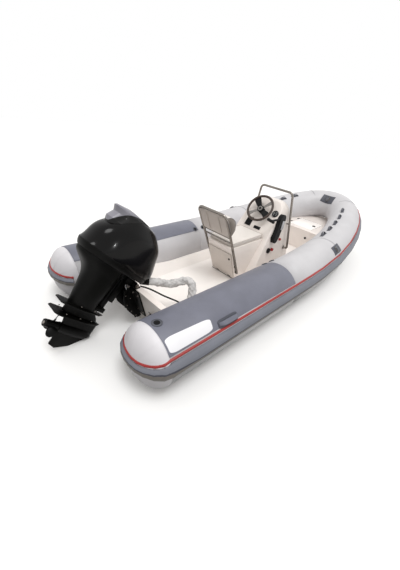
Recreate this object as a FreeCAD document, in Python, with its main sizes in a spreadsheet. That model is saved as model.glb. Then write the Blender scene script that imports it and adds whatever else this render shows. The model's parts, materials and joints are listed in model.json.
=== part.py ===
# Rigid inflatable boat with a tilted outboard motor, a jockey console and a bow locker.
# Millimetres. +X runs forward, +Y to port, +Z up. The origin lies on the centreline at the
# waterline, below the top edge of the transom's aft face.

import FreeCAD, Part
import math
import os
import re
from FreeCAD import Placement, Rotation, Vector

# Driving dimensions: alias, value in mm or degrees, meaning
DIMENSIONS = [
    # Air tubes
    ("tube_radius", 265, "radius of the side tubes"),
    ("tube_spread", 726, "centreline to side tube centre"),
    ("tube_height", 275, "waterline to side tube centre"),
    ("tube_stern", -235, "where the side tubes meet their stern cones"),
    ("cone_length", 165, "length of a stern cone"),
    ("panel_front", 1420, "front edge of the grey tube panels"),
    ("bow_start", 2036, "where the tubes begin to curve in"),
    ("nose_centre", 4156, "tube centre at the nose"),
    ("nose_radius", 226, "tube radius at the nose"),
    ("nose_rise", 338, "rise of the tube centre from the panel front to the nose"),
    ("bow_roundness", 2.08, "exponent of the bow's plan curve"),
    ("bow_taper", 1.5, "exponent of the tube's taper towards the nose"),
    ("skin_gap", 0.3, "gap between curved faces that lie on each other"),
    ("panel_thickness", 3, "reinforcement fabric on the tubes"),
    ("panel_low_angle", 34, "lower edge of the grey panel above the outboard side"),
    ("panel_high_angle", 132, "inboard edge of the grey panel"),
    ("fender_height", 145, "height of the rubbing strake"),
    ("fender_rise", 49, "middle of the rubbing strake round the tube from its outboard side"),
    ("fender_bulge", 26, "how far the rubbing strake stands out"),
    ("fender_tip_height", 84, "height of the rubbing strake round the stern cones"),
    ("fender_tip_rise", 12, "middle of the rubbing strake above the cone's widest line"),
    ("stripe_height", 26, "height of the stripe above the rubbing strake"),
    ("stripe_bulge", 9, "how far the stripe stands out"),
    # Hull
    ("keel_depth", 150, "keel below the waterline at the stern"),
    ("keel_rise_start", 2200, "where the keel line begins to rise"),
    ("keel_rise_power", 2.6, "exponent of the keel's rise to the stem"),
    ("chine_gap", 12, "chine outside the tube's surface"),
    ("chine_angle", 66, "chine below the inboard side of the tube"),
    ("hull_skin", 18, "laminate of the hull"),
    ("hull_inside", 60, "lowest level inside the hull that is not solid"),
    # Transom
    ("transom_top", 460, "top edge of the transom"),
    ("transom_rake", 14, "lean of the transom from upright"),
    ("transom_thickness", 58, "thickness of the transom board"),
    ("notch_level", 400, "bottom of the motor notch in the transom"),
    ("notch_half_width", 170, "half width of the motor notch"),
    # Deck liner and stern ledge
    ("floor_level", 80, "cockpit floor"),
    ("liner_top", 200, "where the liner meets the tubes"),
    ("floor_half_width", 390, "half width of the cockpit floor"),
    ("floor_front_half_width", 285, "half width of the floor at the bow locker"),
    ("floor_narrow_start", 2450, "where the floor begins to narrow"),
    ("liner_flare", 60, "how far the liner's sides lean out"),
    ("liner_stern_top", 290, "top of the liner's sides at the transom"),
    ("liner_stern_run", 900, "where the liner's sides come down to their usual height"),
    # Bow locker
    ("locker_aft", 3080, "aft face of the bow locker"),
    ("locker_top", 395, "top of the bow locker"),
    ("locker_wall", 20, "wall of the bow locker"),
    ("lid_aft", 3190, "aft edge of the locker lid"),
    ("lid_length", 420, "length of the locker lid"),
    ("lid_half_width", 200, "half width of the locker lid at its aft edge"),
    ("lid_thickness", 12, "thickness of the locker lid"),
    ("lid_gap", 5, "gap round the locker lid"),
    ("lid_ledge", 20, "width of the ledge that carries the lid"),
    # Seat box
    ("seat_half_width", 195, "half width of the seat box"),
    ("seat_foot", 1410, "aft foot of the seat box"),
    ("seat_aft_top", 1235, "aft top edge of the seat box"),
    ("seat_top", 545, "top of the seat box"),
    ("seat_wall", 15, "wall of the seat box"),
    ("cushion_thickness", 62, "thickness of the seat cushion"),
    ("hatch_half_width", 166, "half width of the hatch in the seat box"),
    ("hatch_low", 60, "hatch opening above the floor along the slope"),
    ("hatch_high", 400, "top of the hatch opening along the slope"),
    ("hatch_thickness", 16, "thickness of the hatch"),
    ("hatch_lap", 14, "how far the hatch laps its opening"),
    # Console
    ("console_half_width", 302, "half width of the console at its foot"),
    ("console_top_half_width", 228, "half width of the console at its top"),
    ("console_shoulder", 150, "rounding of the console's shoulders"),
    ("console_foot", 1560, "aft foot of the console"),
    ("dash_foot", 1868, "lower edge of the dash"),
    ("dash_foot_level", 612, "height of the lower edge of the dash"),
    ("dash_head", 2130, "upper edge of the dash"),
    ("dash_head_level", 960, "height of the upper edge of the dash"),
    ("console_front_top", 2230, "front top edge of the console"),
    ("console_front_foot", 2420, "front foot of the console"),
    # Steering
    ("wheel_radius", 165, "middle of the steering wheel's rim"),
    ("wheel_grip", 13, "radius of the rim's section"),
    ("wheel_up_dash", 247, "wheel centre up the dash from its lower edge"),
    ("wheel_across", 20, "wheel centre to port of the centreline"),
    ("wheel_stand_off", 80, "rim plane above the dash"),
    ("helm_radius", 40, "radius of the helm's bezel"),
    ("helm_height", 44, "height of the helm's bezel"),
    ("wheel_hub_radius", 34, "radius of the wheel's hub"),
    # Stainless frames
    ("rail_radius", 14, "radius of the stainless tube"),
    ("rail_station", 2210, "station of the handrail's top bar"),
    ("rail_foot_station", 2262, "station of the handrail's feet"),
    ("rail_top", 1080, "centre of the handrail's top bar"),
    ("rail_foot_level", 360, "centre of the handrail's feet"),
    ("rail_top_half_width", 235, "half width of the handrail at the top"),
    ("rail_foot_half_width", 335, "half width of the handrail at the feet"),
    ("rail_bend", 55, "bend radius of the handrail"),
    ("rest_half_width", 209.3, "half width of the backrest frame"),
    ("rest_foot_inset", 5, "foot of the backrest frame aft of the seat box's foot"),
    ("rest_foot_level", 185, "height of the backrest frame's foot"),
    ("rest_head_reach", 200, "top bar of the backrest aft of the seat box's top edge"),
    ("rest_head_rise", 420, "top bar of the backrest above the seat box"),
    ("rest_bend", 70, "bend radius of the backrest frame"),
    # Outboard motor, upright, from its tilt axis
    ("tilt_axis_x", 40, "tilt axis forward of the transom's top edge"),
    ("tilt_axis_z", 450, "tilt axis above the waterline"),
    ("rest_tilt", 45, "tilt of the motor as it is stored"),
    ("swivel_offset", 100, "swivel axis aft of the tilt axis"),
    ("swivel_radius", 32, "radius of the swivel tube"),
    ("swivel_top", -10, "top of the swivel tube"),
    ("swivel_bottom", -330, "bottom of the swivel tube"),
    ("swivel_half_width", 74, "half width of the swivel bracket's head"),
    ("tilt_pin_radius", 15, "radius of the tilt tube"),
    ("clamp_inner", 82, "inner face of a clamp plate"),
    ("clamp_thickness", 14, "thickness of a clamp plate"),
    ("clamp_low", 78, "lower end of the clamp plates"),
    ("clamp_flange", 212, "outboard edge of the clamp bracket's flanges"),
    ("running_gap", 0.1, "radial clearance of pins and shafts"),
    ("plate_level", -500, "underside of the anti-ventilation plate"),
    ("spray_level", -408, "underside of the spray plate"),
    ("plate_thickness", 10, "thickness of the anti-ventilation plate"),
    ("shaft_level", -622, "propeller shaft"),
    ("propeller_radius", 112, "radius of the propeller"),
    ("propeller_hub", 36, "radius of the propeller's hub"),
    ("propeller_front", -338, "front face of the propeller's hub"),
    ("shaft_radius", 12, "radius of the propeller shaft"),
    ("propeller_length", 118, "length of the propeller's hub"),
    ("blade_count", 3, "blades of the propeller"),
    ("cowl_split", 90, "split between the cowl and its tray"),
    ("ram_radius", 18, "radius of the tilt cylinder"),
    ("ram_rod_radius", 9, "radius of the tilt rod"),
    ("ram_foot_x", -5, "ram's lower pin forward of the tilt axis"),
    ("ram_foot_z", -278, "height of the ram's lower pin from the tilt axis"),
    ("ram_eye_x", -35, "ram's upper pin on the upright swivel bracket, from the tilt axis"),
    ("ram_eye_z", -35, "height of the ram's upper pin from the tilt axis"),
    ("ram_pin_radius", 6, "radius of the ram's upper pin"),
    ("ram_eye_play", 8.5, "play in the rod's eye"),
    # Fittings on the tubes
    ("patch_thickness", 2.5, "glued patches"),
    ("loop_length", 120, "span of a grab loop"),
    ("loop_width", 25, "width of the webbing"),
    ("valve_radius", 30, "radius of a bow valve's cap"),
    ("stern_valve_radius", 42, "radius of the stern valve's cap"),
    ("ring_bar", 5, "radius of a D-ring's bar"),
    ("tow_eye_level", 240, "height of the stern tow eyes"),
    ("tow_eye_across", 330, "tow eye from the centreline"),
    ("tow_eye_reach", 34, "middle of the tow eye's hole aft of the transom"),
    ("tow_eye_radius", 12, "radius of the tow eye's hole"),
    ("tow_eye_thickness", 12, "thickness of a tow eye"),
    # Rigging
    ("boot_radius", 36, "radius of the rigging boot"),
    ("cable_radius", 6, "radius of the control cable"),
]

doc = FreeCAD.newDocument("RigidInflatableBoat")
sheet = doc.addObject("Spreadsheet::Sheet", "Dims")
for row, (alias, value, meaning) in enumerate(DIMENSIONS, start=1):
    sheet.set(f"A{row}", alias)
    sheet.set(f"B{row}", str(value))
    sheet.set(f"C{row}", meaning)
    sheet.setAlias(f"B{row}", alias)
doc.recompute()

ALIASES = {alias for alias, _, _ in DIMENSIONS}
SUBPARTS = []
UP = Vector(0, 0, 1)


def dim(alias):
    """A driving dimension, as a plain number."""
    return float(sheet.get(alias))


def linked(formula):
    """A formula in which every alias points at the sheet."""
    return re.sub(r"[a-z_]+", lambda m: "Dims." + m.group() if m.group() in ALIASES else m.group(),
                  str(formula))


def bind(item, **sizes):
    """Bind properties to formulas; a double underscore stands for a dot."""
    for prop, formula in sizes.items():
        item.setExpression(prop.replace("__", "."), linked(formula))
    return item


def place(item, x=0, y=0, z=0, axis=None, angle=0):
    """Bind an object's placement to formulas."""
    if axis is not None:
        item.Placement = Placement(Vector(), Rotation(axis, 1))
        bind(item, Placement__Rotation__Angle=angle)
    return bind(item, Placement__Base__x=x, Placement__Base__y=y, Placement__Base__z=z)


def subpart(item, label):
    """Keep an object as the sub-part with this name."""
    item.Label = label
    SUBPARTS.append(item)
    return item


def feature(name, shape):
    """A document object that holds a shape built in code."""
    item = doc.addObject("Part::Feature", name)
    item.Shape = shape
    return item


def primitive(kind, name, **sizes):
    """A Part primitive with its sizes bound to the sheet."""
    return bind(doc.addObject("Part::" + kind, name), **sizes)


def cut(name, base, tool):
    """One object with another cut out of it."""
    item = doc.addObject("Part::Cut", name)
    item.Base, item.Tool = base, tool
    return item


def join(name, items):
    """Several objects fused into one."""
    item = doc.addObject("Part::MultiFuse", name)
    item.Shapes, item.Refine = items, False
    return item


def overlap(name, items):
    """What several objects have in common."""
    item = doc.addObject("Part::MultiCommon", name)
    item.Shapes = items
    return item


def side_prism(name, outline, half_width, middle=0):
    """A plate with this outline of x, z points, as wide as twice half_width about y = middle."""
    points = [Vector(x, middle - half_width, z) for x, z in outline]
    face = Part.Face(Part.makePolygon(points + points[:1]))
    return feature(name, face.extrude(Vector(0, 2 * half_width, 0)))


def block(low, high):
    """A box between two corners."""
    size = [b - a for a, b in zip(low, high)]
    return Part.makeBox(*size, Vector(*low))


def rounded_run(points, bends):
    """Edges of straight runs between these points, joined by tangent arcs."""
    edges, start = [], points[0]
    for here, after, bend in zip(points[1:-1], points[2:], bends):
        back, ahead = (start - here).normalize(), (after - here).normalize()
        half = back.getAngle(ahead) / 2
        reach, middle = bend / math.tan(half), (back + ahead).normalize()
        centre = here + middle * (bend / math.sin(half))
        first, last = here + back * reach, here + ahead * reach
        edges.append(Part.makeLine(start, first))
        edges.append(Part.Arc(first, centre - middle * bend, last).toShape())
        start = last
    edges.append(Part.makeLine(start, points[-1]))
    return edges


def bent_tube(points, bends, radius):
    """A round tube along straight runs joined by tangent arcs."""
    ring = Part.Wire(Part.makeCircle(radius, points[0], points[1] - points[0]))
    return Part.Wire(rounded_run(points, bends)).makePipeShell([ring], True, False)


def face_between(points):
    """A flat face with these corners."""
    return Part.Face(Part.makePolygon(points + points[:1]))


def cross_pin(centre, radius, half):
    """A round bar across the boat."""
    return Part.makeCylinder(radius, 2 * half, centre - Vector(0, half, 0), Vector(0, 1, 0))


# Air tube path
def tube_centre(step):
    """Centre of the port tube: step below 0 runs along the straight, 0 to 1 round the bow."""
    straight = dim("bow_start") - dim("panel_front")
    if step < 0:
        x, y = dim("bow_start") + step * straight, dim("tube_spread")
    else:
        power = 2 / dim("bow_roundness")
        turn = step * math.pi / 2
        x = dim("bow_start") + (dim("nose_centre") - dim("bow_start")) * math.sin(turn) ** power
        y = dim("tube_spread") * max(math.cos(turn), 0) ** power if step < 1 else 0.0
    share = (x - dim("panel_front")) / (dim("nose_centre") - dim("panel_front"))
    return Vector(x, y, dim("tube_height") + dim("nose_rise") * share ** 2)


def tube_girth(x):
    """Radius of the air tube at this station."""
    share = max(0.0, (x - dim("bow_start")) / (dim("nose_centre") - dim("bow_start")))
    return dim("tube_radius") - (dim("tube_radius") - dim("nose_radius")) * share ** dim("bow_taper")


def tube_station(step):
    """Centre, outward direction and radius of the port tube at a step along its path."""
    nudge = 0.002
    ahead = tube_centre(min(step + nudge, 1)) - tube_centre(max(step - nudge, -1))
    if step >= 1:
        ahead = Vector(0, -1, 0)
    if step <= -1:
        ahead = Vector(1, 0, 0)
    out = ahead.normalize().cross(UP).normalize() * -1
    centre = tube_centre(step)
    return centre, out, ahead, tube_girth(centre.x)


BOW_STEPS = [-1, -0.5, 0, 0.14, 0.27, 0.39, 0.5, 0.6, 0.7, 0.79, 0.87, 0.94, 1]


def mirrored(vector):
    """The same place or direction on the starboard side."""
    return Vector(vector.x, -vector.y, vector.z)


def bow_stations():
    """Stations from the port panel round the nose to the starboard panel."""
    port = [tube_station(step) for step in BOW_STEPS]
    starboard = [(mirrored(c), mirrored(o), mirrored(a) * -1, r) for c, o, a, r in port[-2::-1]]
    return port + starboard


def bow_tube_solid(growth):
    """The bow tube, its radius larger by the growth."""
    rings = []
    for centre, out, ahead, girth in bow_stations():
        circle = Part.Circle(Vector(), UP, girth + growth)
        rise = ahead.cross(out)
        frame = FreeCAD.Matrix(out.x, rise.x, ahead.x, centre.x, out.y, rise.y, ahead.y, centre.y,
                               out.z, rise.z, ahead.z, centre.z, 0, 0, 0, 1)
        ring = circle.toShape()
        ring.Placement = Placement(frame)
        rings.append(Part.Wire(ring))
    return Part.makeLoft(rings, True, True)


def side_tube(name, side, growth, start="tube_stern", finish="panel_front"):
    """A straight tube between two stations, its radius larger by the growth."""
    item = primitive("Cylinder", name, Radius=f"tube_radius + {growth}",
                     Height=f"{finish} - {start}")
    return place(item, start, f"{side} * tube_spread", "tube_height", Vector(0, 1, 0), 90)


SIDES = (("port", 1), ("starboard", -1))
bow_tube = subpart(feature("BowTube", bow_tube_solid(0)), "bow_tube")
tube_cutters = [feature("BowTubeSpace", bow_tube_solid(dim("skin_gap")))]
for side_name, side in SIDES:
    subpart(side_tube("Tube" + side_name, side, 0), "tube_" + side_name)
    tube_cutters.append(side_tube("TubeSpace" + side_name, side, "skin_gap"))
tube_space = join("TubeSpace", tube_cutters)


# Stern cones, half ellipsoids behind the side tubes
def stern_cone(side_name, side, growth=0):
    """The blunt end of a side tube, larger all round by the growth."""
    dome = primitive("Ellipsoid", "Dome" + side_name, Radius1=f"tube_radius + {growth}",
                     Radius2=f"cone_length + {growth}", Radius3=f"tube_radius + {growth}",
                     Angle1=-90, Angle2=90, Angle3=360)
    place(dome, "tube_stern", f"{side} * tube_spread", "tube_height")
    keep = primitive("Box", "DomeHalf" + side_name, Length="cone_length + 10",
                     Width="2 * tube_radius + 20", Height="2 * tube_radius + 20")
    place(keep, "tube_stern - cone_length - 10", f"{side} * tube_spread - tube_radius - 10",
          "tube_height - tube_radius - 10")
    return overlap("Cone" + side_name, [dome, keep])


cone_cutters = []
for side_name, side in SIDES:
    subpart(stern_cone(side_name, side), "stern_cone_" + side_name)
    cone_cutters.append(stern_cone(side_name + "Space", side, "skin_gap"))


def off_the_tubes(name, item):
    """An object without what lies inside the tubes and their stern cones."""
    result = cut(name, item, tube_space)
    for cutter in cone_cutters:
        result = cut(name, result, cutter)
    return result


# Grey panels that wrap the top of the side tubes
def tube_panel(side_name, side):
    """Reinforcement fabric from the stripe over the top to the inboard edge."""
    outer = side_tube("PanelOuter" + side_name, side, "skin_gap + panel_thickness")
    inner = side_tube("PanelInner" + side_name, side, "skin_gap")
    bind(outer, Angle="panel_high_angle - panel_low_angle")
    low = dim("panel_low_angle") if side > 0 else 180 - dim("panel_high_angle")
    outer.setExpression("Placement.Rotation.Angle", None)
    turn = Rotation(Vector(0, 1, 0), 90) * Rotation(UP, low + 90)
    outer.Placement = Placement(outer.Placement.Base, turn)
    return subpart(cut("Panel" + side_name, outer, inner), "tube_panel_" + side_name)


for side_name, side in SIDES:
    tube_panel(side_name, side)


# Rubbing strake and stripe, lens-shaped strips that run from cone to cone
def cone_stations():
    """Stations round the port cone from its inboard side, with how far each is round the cone."""
    length, girth = dim("cone_length"), dim("tube_radius")
    stations = []
    for degrees in (160, 140, 120, 105, 90, 75, 60, 40, 20):
        turn = math.radians(degrees)
        normal = Vector(-math.sin(turn) / length, math.cos(turn) / girth, 0)
        stretch = normal.Length
        touch = Vector(dim("tube_stern") - length * math.sin(turn),
                       dim("tube_spread") + girth * math.cos(turn), dim("tube_height"))
        out = normal.normalize()
        radius = girth ** 2 * stretch
        stations.append((touch - out * radius, out, UP.cross(out) * -1, radius, min(degrees / 80, 1)))
    return stations


def straight_stations():
    """Stations along the port side tube."""
    out, ahead = Vector(0, 1, 0), Vector(1, 0, 0)
    count = 4
    run = dim("panel_front") - dim("tube_stern")
    return [(Vector(dim("tube_stern") + run * i / count, dim("tube_spread"), dim("tube_height")),
             out, ahead, dim("tube_radius"), 0) for i in range(count)]


def strip(rise, tip_rise, height, tip_height, bulge):
    """A lens-shaped strip on the tubes all round the boat, its middle this far round from level."""
    port = cone_stations() + straight_stations()
    port += [(*tube_station(step), 0) for step in BOW_STEPS]
    starboard = [(mirrored(c), mirrored(o), mirrored(a) * -1, r, s) for c, o, a, r, s in port[-2::-1]]
    wires = []
    for centre, out, ahead, radius, share in port + starboard:
        climb = ahead.cross(out) if ahead.cross(out).z > 0 else out.cross(ahead)
        inner = radius - 4
        middle = (rise + (tip_rise - rise) * share) / radius
        half = (height + (tip_height - height) * share) / radius / 2

        def spot(angle, reach):
            return centre + out * (reach * math.cos(angle)) + climb * (reach * math.sin(angle))

        low, high = spot(middle - half, inner), spot(middle + half, inner)
        back = Part.Arc(low, spot(middle, inner), high).toShape()
        front = Part.Arc(high, spot(middle, radius + bulge), low).toShape()
        wires.append(Part.Wire([back, front]))
    return Part.makeLoft(wires, True, True)


fender_height, tip_height = dim("fender_height"), dim("fender_tip_height")
stripe_height, fender_rise = dim("stripe_height"), dim("fender_rise")
strake = feature("StrakeBlank", strip(fender_rise, dim("fender_tip_rise"), fender_height, tip_height,
                                      dim("fender_bulge")))
subpart(off_the_tubes("RubbingStrake", strake), "rubbing_strake")
stripe = feature("StripeBlank", strip(fender_rise + (fender_height + stripe_height) / 2,
                                      dim("fender_tip_rise") + (tip_height + stripe_height) / 2,
                                      stripe_height, stripe_height, dim("stripe_bulge")))
subpart(off_the_tubes("StrakeStripe", stripe), "strake_stripe")


# Hull, a deep V that the tubes sit on
def chine_point(step):
    """Chine just outside the tube, low on its inboard side."""
    centre, out, _, girth = tube_station(step)
    angle = math.radians(dim("chine_angle"))
    reach = girth + dim("chine_gap")
    return centre - out * (reach * math.cos(angle)) - UP * (reach * math.sin(angle))


def keel_level(x):
    """Height of the keel at this station."""
    stem = chine_point(1)
    if x <= dim("keel_rise_start"):
        return -dim("keel_depth")
    share = (x - dim("keel_rise_start")) / (stem.x - dim("keel_rise_start"))
    return -dim("keel_depth") + (stem.z + dim("keel_depth")) * share ** dim("keel_rise_power")


def hull_loft(inset):
    """The hull's outside, or its inside when inset by the laminate."""
    stations = [(x, chine_point(-1)) for x in (-100, 700)]
    stations += [(chine_point(step).x, chine_point(step)) for step in (-0.9, -0.4, 0, 0.2, 0.36)]
    stations += [(chine_point(step).x, chine_point(step)) for step in (0.5, 0.63, 0.76, 0.87, 0.95)]
    wires = []
    for x, chine in stations:
        y = max(chine.y - inset, 12)
        keel = min(keel_level(x) + inset * 1.05, chine.z + inset - 6)
        top = chine.z + 260
        ring = [(0, keel), (y, chine.z + inset * 0.4), (y * 0.97, top), (-y * 0.97, top),
                (-y, chine.z + inset * 0.4)]
        points = [Vector(x, *point) for point in ring]
        wires.append(Part.makePolygon(points + points[:1]))
    return Part.makeLoft(wires, True, False)


def transom_x(level):
    """Station of the transom's raked aft face at this level."""
    return (dim("transom_top") - level) * math.tan(math.radians(dim("transom_rake")))


def aft_of(offset, name):
    """Everything aft of a plane parallel to the transom's aft face."""
    low, high = -600, 900
    outline = [(-900, low), (transom_x(low) + offset, low), (transom_x(high) + offset, high),
               (-900, high)]
    return side_prism(name, outline, 900)


board = dim("transom_thickness") / math.cos(math.radians(dim("transom_rake")))
hull_outside = feature("HullOutside", hull_loft(0))
hull_inside = feature("HullInside", hull_loft(dim("hull_skin")))
room_above = primitive("Box", "RoomAbove", Length=6000, Width=2400, Height=1200)
place(room_above, -500, -1200, "hull_inside")
hollow = overlap("HullHollow", [hull_inside, room_above])
hull_blank = cut("HullBlank", cut("HullRound", hull_outside, tube_space), hollow)
hull_tail = aft_of(board, "HullTail")
subpart(cut("Hull", hull_blank, hull_tail), "hull")

# Transom board, raked, with a notch for the motor
chine = chine_point(-1)
top_half = dim("tube_spread") - 60
board_outline = [(0, -dim("keel_depth")), (chine.y, chine.z), (top_half, dim("tube_height")),
                 (top_half, dim("transom_top")), (-top_half, dim("transom_top")),
                 (-top_half, dim("tube_height")), (-chine.y, chine.z)]
board_points = [Vector(-100, *point) for point in board_outline]
board_face = Part.Face(Part.makePolygon(board_points + board_points[:1]))
board_block = feature("TransomBlock", board_face.extrude(Vector(700, 0, 0)))
board_slab = cut("TransomSlab", aft_of(board, "TransomFront"), aft_of(0, "TransomAft"))
board_solid = cut("TransomSolid", overlap("TransomBoard", [board_block, board_slab]), tube_space)
notch = primitive("Box", "TransomNotch", Length=900, Width="2 * notch_half_width", Height=400)
place(notch, -400, "-notch_half_width", "notch_level")
subpart(cut("Transom", board_solid, notch), "transom")

# Deck liner, a moulded pan whose sides rise towards the transom
inside_half = chine.y + 40
liner_block = side_prism("LinerBlock", [(-100, dim("hull_inside")), (-100, dim("liner_stern_top")),
                                        (100, dim("liner_stern_top")),
                                        (dim("liner_stern_run"), dim("liner_top")),
                                        (dim("locker_aft"), dim("liner_top")),
                                        (dim("locker_aft"), dim("hull_inside"))], inside_half)


def floor_outline(level, spread):
    """Plan of the cockpit at this level, wider by the spread."""
    aft, fore = -200, dim("locker_aft") + 2
    wide = dim("floor_half_width") + spread
    narrow = dim("floor_front_half_width") + spread
    plan = [(aft, -wide), (dim("floor_narrow_start"), -wide), (fore, -narrow), (fore, narrow),
            (dim("floor_narrow_start"), wide), (aft, wide)]
    points = [Vector(x, y, level) for x, y in plan]
    return Part.makePolygon(points + points[:1])


rise_share = (500 - dim("floor_level")) / (dim("liner_top") - dim("floor_level"))
cockpit = feature("Cockpit", Part.makeLoft([floor_outline(dim("floor_level"), 0),
                                            floor_outline(500, dim("liner_flare") * rise_share)],
                                           True, True))
liner_fit = overlap("LinerFit", [liner_block, hull_inside])
liner_round = cut("LinerRound", cut("LinerOpen", liner_fit, cockpit), tube_space)
subpart(cut("DeckLiner", liner_round, aft_of(board, "LinerTail")), "deck_liner")

# Bow locker with an opening under its lid
locker_block = primitive("Box", "LockerBlock", Length=1400, Width=2000,
                         Height="locker_top - hull_inside")
place(locker_block, "locker_aft", -1000, "hull_inside")
locker_room = primitive("Box", "LockerRoomBlock", Length=1400, Width=2000,
                        Height="locker_top - locker_wall - floor_level")
place(locker_room, "locker_aft + locker_wall", -1000, "floor_level")
locker_inside = feature("LockerInside", hull_loft(dim("hull_skin") + dim("locker_wall")))
lid_opening = primitive("Box", "LidOpening", Length="lid_length - 2 * lid_ledge",
                        Width="2 * (lid_half_width - lid_ledge)", Height=200)
place(lid_opening, "lid_aft + lid_ledge", "-(lid_half_width - lid_ledge)", "locker_top - 100")
lid_rebate = primitive("Box", "LidRebate", Length="lid_length + 2 * lid_gap",
                       Width="2 * (lid_half_width + lid_gap)", Height=200)
place(lid_rebate, "lid_aft - lid_gap", "-(lid_half_width + lid_gap)",
      "locker_top - lid_thickness - skin_gap")
locker_room_fit = overlap("LockerRoom", [locker_room, locker_inside])
locker_fit = cut("LockerRound", overlap("LockerFit", [locker_block, hull_inside]), tube_space)
locker_spaces = join("LockerSpaces", [locker_room_fit, lid_opening, lid_rebate])
subpart(cut("BowLocker", locker_fit, locker_spaces), "bow_locker")
lid = primitive("Box", "BowLid", Length="lid_length", Width="2 * lid_half_width",
                Height="lid_thickness")
place(lid, "lid_aft", "-lid_half_width", "locker_top - lid_thickness")
subpart(lid, "bow_lid")


# Seat box, hollow, with a hatch in its sloping aft face
def along_aft_face(reach, out=0):
    """A point up the seat box's aft face from its foot, and out from the face."""
    run = dim("seat_foot") - dim("seat_aft_top")
    rise = dim("seat_top") - dim("floor_level")
    length = math.hypot(run, rise)
    up_x, up_z = -run / length, rise / length
    return (dim("seat_foot") + up_x * reach - up_z * out, dim("floor_level") + up_z * reach + up_x * out)


def along_out(reach, out):
    """A point on the centreline up the seat box's aft face, and out from it."""
    x, z = along_aft_face(reach, out)
    return x, 0, z


def console_aft_x(level):
    """Station of the console's sloping aft edge at this level."""
    share = (level - dim("floor_level")) / (dim("dash_foot_level") - dim("floor_level"))
    return dim("console_foot") + (dim("dash_foot") - dim("console_foot")) * share


def seat_outline(inset):
    """Side outline of the seat box, smaller by the inset."""
    low, high = dim("floor_level") + inset, dim("seat_top") - inset
    slope = (dim("seat_foot") - dim("seat_aft_top")) / (dim("seat_top") - dim("floor_level"))
    aft_low = dim("seat_foot") - slope * inset + inset
    aft_high = dim("seat_aft_top") + slope * inset + inset
    return [(aft_low, low), (aft_high, high), (console_aft_x(high) - inset, high),
            (console_aft_x(low) - inset, low)]


seat_shell = side_prism("SeatShell", seat_outline(0), dim("seat_half_width"))
seat_room = side_prism("SeatRoom", seat_outline(dim("seat_wall")),
                       dim("seat_half_width") - dim("seat_wall"))
hatch_hole = side_prism("HatchHole", [along_aft_face(dim("hatch_low"), 60),
                                      along_aft_face(dim("hatch_high"), 60),
                                      along_aft_face(dim("hatch_high"), -60),
                                      along_aft_face(dim("hatch_low"), -60)],
                        dim("hatch_half_width"))
subpart(cut("SeatBox", seat_shell, join("SeatSpaces", [seat_room, hatch_hole])), "seat_box")
lap, thick = dim("hatch_lap"), dim("hatch_thickness")
hatch_outline = [along_aft_face(dim("hatch_low") - lap, dim("skin_gap")),
                 along_aft_face(dim("hatch_high") + lap, dim("skin_gap")),
                 along_aft_face(dim("hatch_high") + lap, dim("skin_gap") + thick),
                 along_aft_face(dim("hatch_low") - lap, dim("skin_gap") + thick)]
subpart(side_prism("SeatHatch", hatch_outline, dim("hatch_half_width") + lap), "seat_hatch")

# Seat cushion
cushion_low = dim("seat_top") + dim("skin_gap")
cushion_high = dim("seat_top") + dim("cushion_thickness")
cushion_outline = [(dim("seat_aft_top") + 12, cushion_low), (dim("seat_aft_top") + 20, cushion_high),
                   (console_aft_x(cushion_high) - 8, cushion_high),
                   (console_aft_x(cushion_low) - 8, cushion_low)]
cushion = side_prism("SeatCushionBlank", cushion_outline, dim("seat_half_width") - 4)
cushion_round = doc.addObject("Part::Fillet", "SeatCushion")
cushion_round.Base = cushion
doc.recompute()
top_edges = [i + 1 for i, e in enumerate(cushion.Shape.Edges)
             if all(v.Point.z > cushion_high - 1 for v in e.Vertexes)]
cushion_round.Edges = [(i, 18, 18) for i in top_edges]
subpart(cushion_round, "seat_cushion")

# Console with its sloping dash
console_outline = [(dim("console_foot"), dim("floor_level")),
                   (dim("dash_foot"), dim("dash_foot_level")),
                   (dim("dash_head"), dim("dash_head_level")),
                   (dim("console_front_top"), dim("dash_head_level")),
                   (dim("console_front_foot"), dim("floor_level"))]
console_sides = side_prism("ConsoleSides", console_outline, dim("console_half_width"))
foot_half, top_half_width = dim("console_half_width"), dim("console_top_half_width")
console_front_view = [Vector(1400, -foot_half, dim("floor_level")),
                      Vector(1400, -top_half_width, dim("dash_head_level")),
                      Vector(1400, top_half_width, dim("dash_head_level")),
                      Vector(1400, foot_half, dim("floor_level"))]
shoulder = dim("console_shoulder")
console_ends = rounded_run(console_front_view, [shoulder, shoulder])
console_ends.append(Part.makeLine(console_front_view[-1], console_front_view[0]))
console_front = feature("ConsoleFront", Part.Face(Part.Wire(console_ends)).extrude(Vector(1200, 0, 0)))
subpart(overlap("Console", [console_sides, console_front]), "console")

# Dash frame: up the slope and out of the dash
dash_foot = Vector(dim("dash_foot"), 0, dim("dash_foot_level"))
dash_up = (Vector(dim("dash_head"), 0, dim("dash_head_level")) - dash_foot).normalize()
dash_out = dash_up.cross(Vector(0, 1, 0)).normalize()
if dash_out.z < 0:
    dash_out = dash_out * -1


def on_dash(up, across, out=0.0):
    """A point on the dash, or out from it."""
    return dash_foot + dash_up * up + Vector(0, across, 0) + dash_out * out


def dash_disc(up, across, radius, height, base=0.3):
    """A round instrument on the dash."""
    return Part.makeCylinder(radius, height, on_dash(up, across, base), dash_out)


dash_turn = Placement(FreeCAD.Matrix(dash_up.x, 0, dash_out.x, 0, dash_up.y, 1, dash_out.y, 0,
                                     dash_up.z, 0, dash_out.z, 0, 0, 0, 0, 1)).Rotation


def dash_plate(up, across, tall, wide, height, base=0.3):
    """A rectangular panel on the dash."""
    plate = Part.makeBox(tall, wide, height)
    plate.Placement = Placement(on_dash(up - tall / 2, across - wide / 2, base), dash_turn)
    return plate


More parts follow.
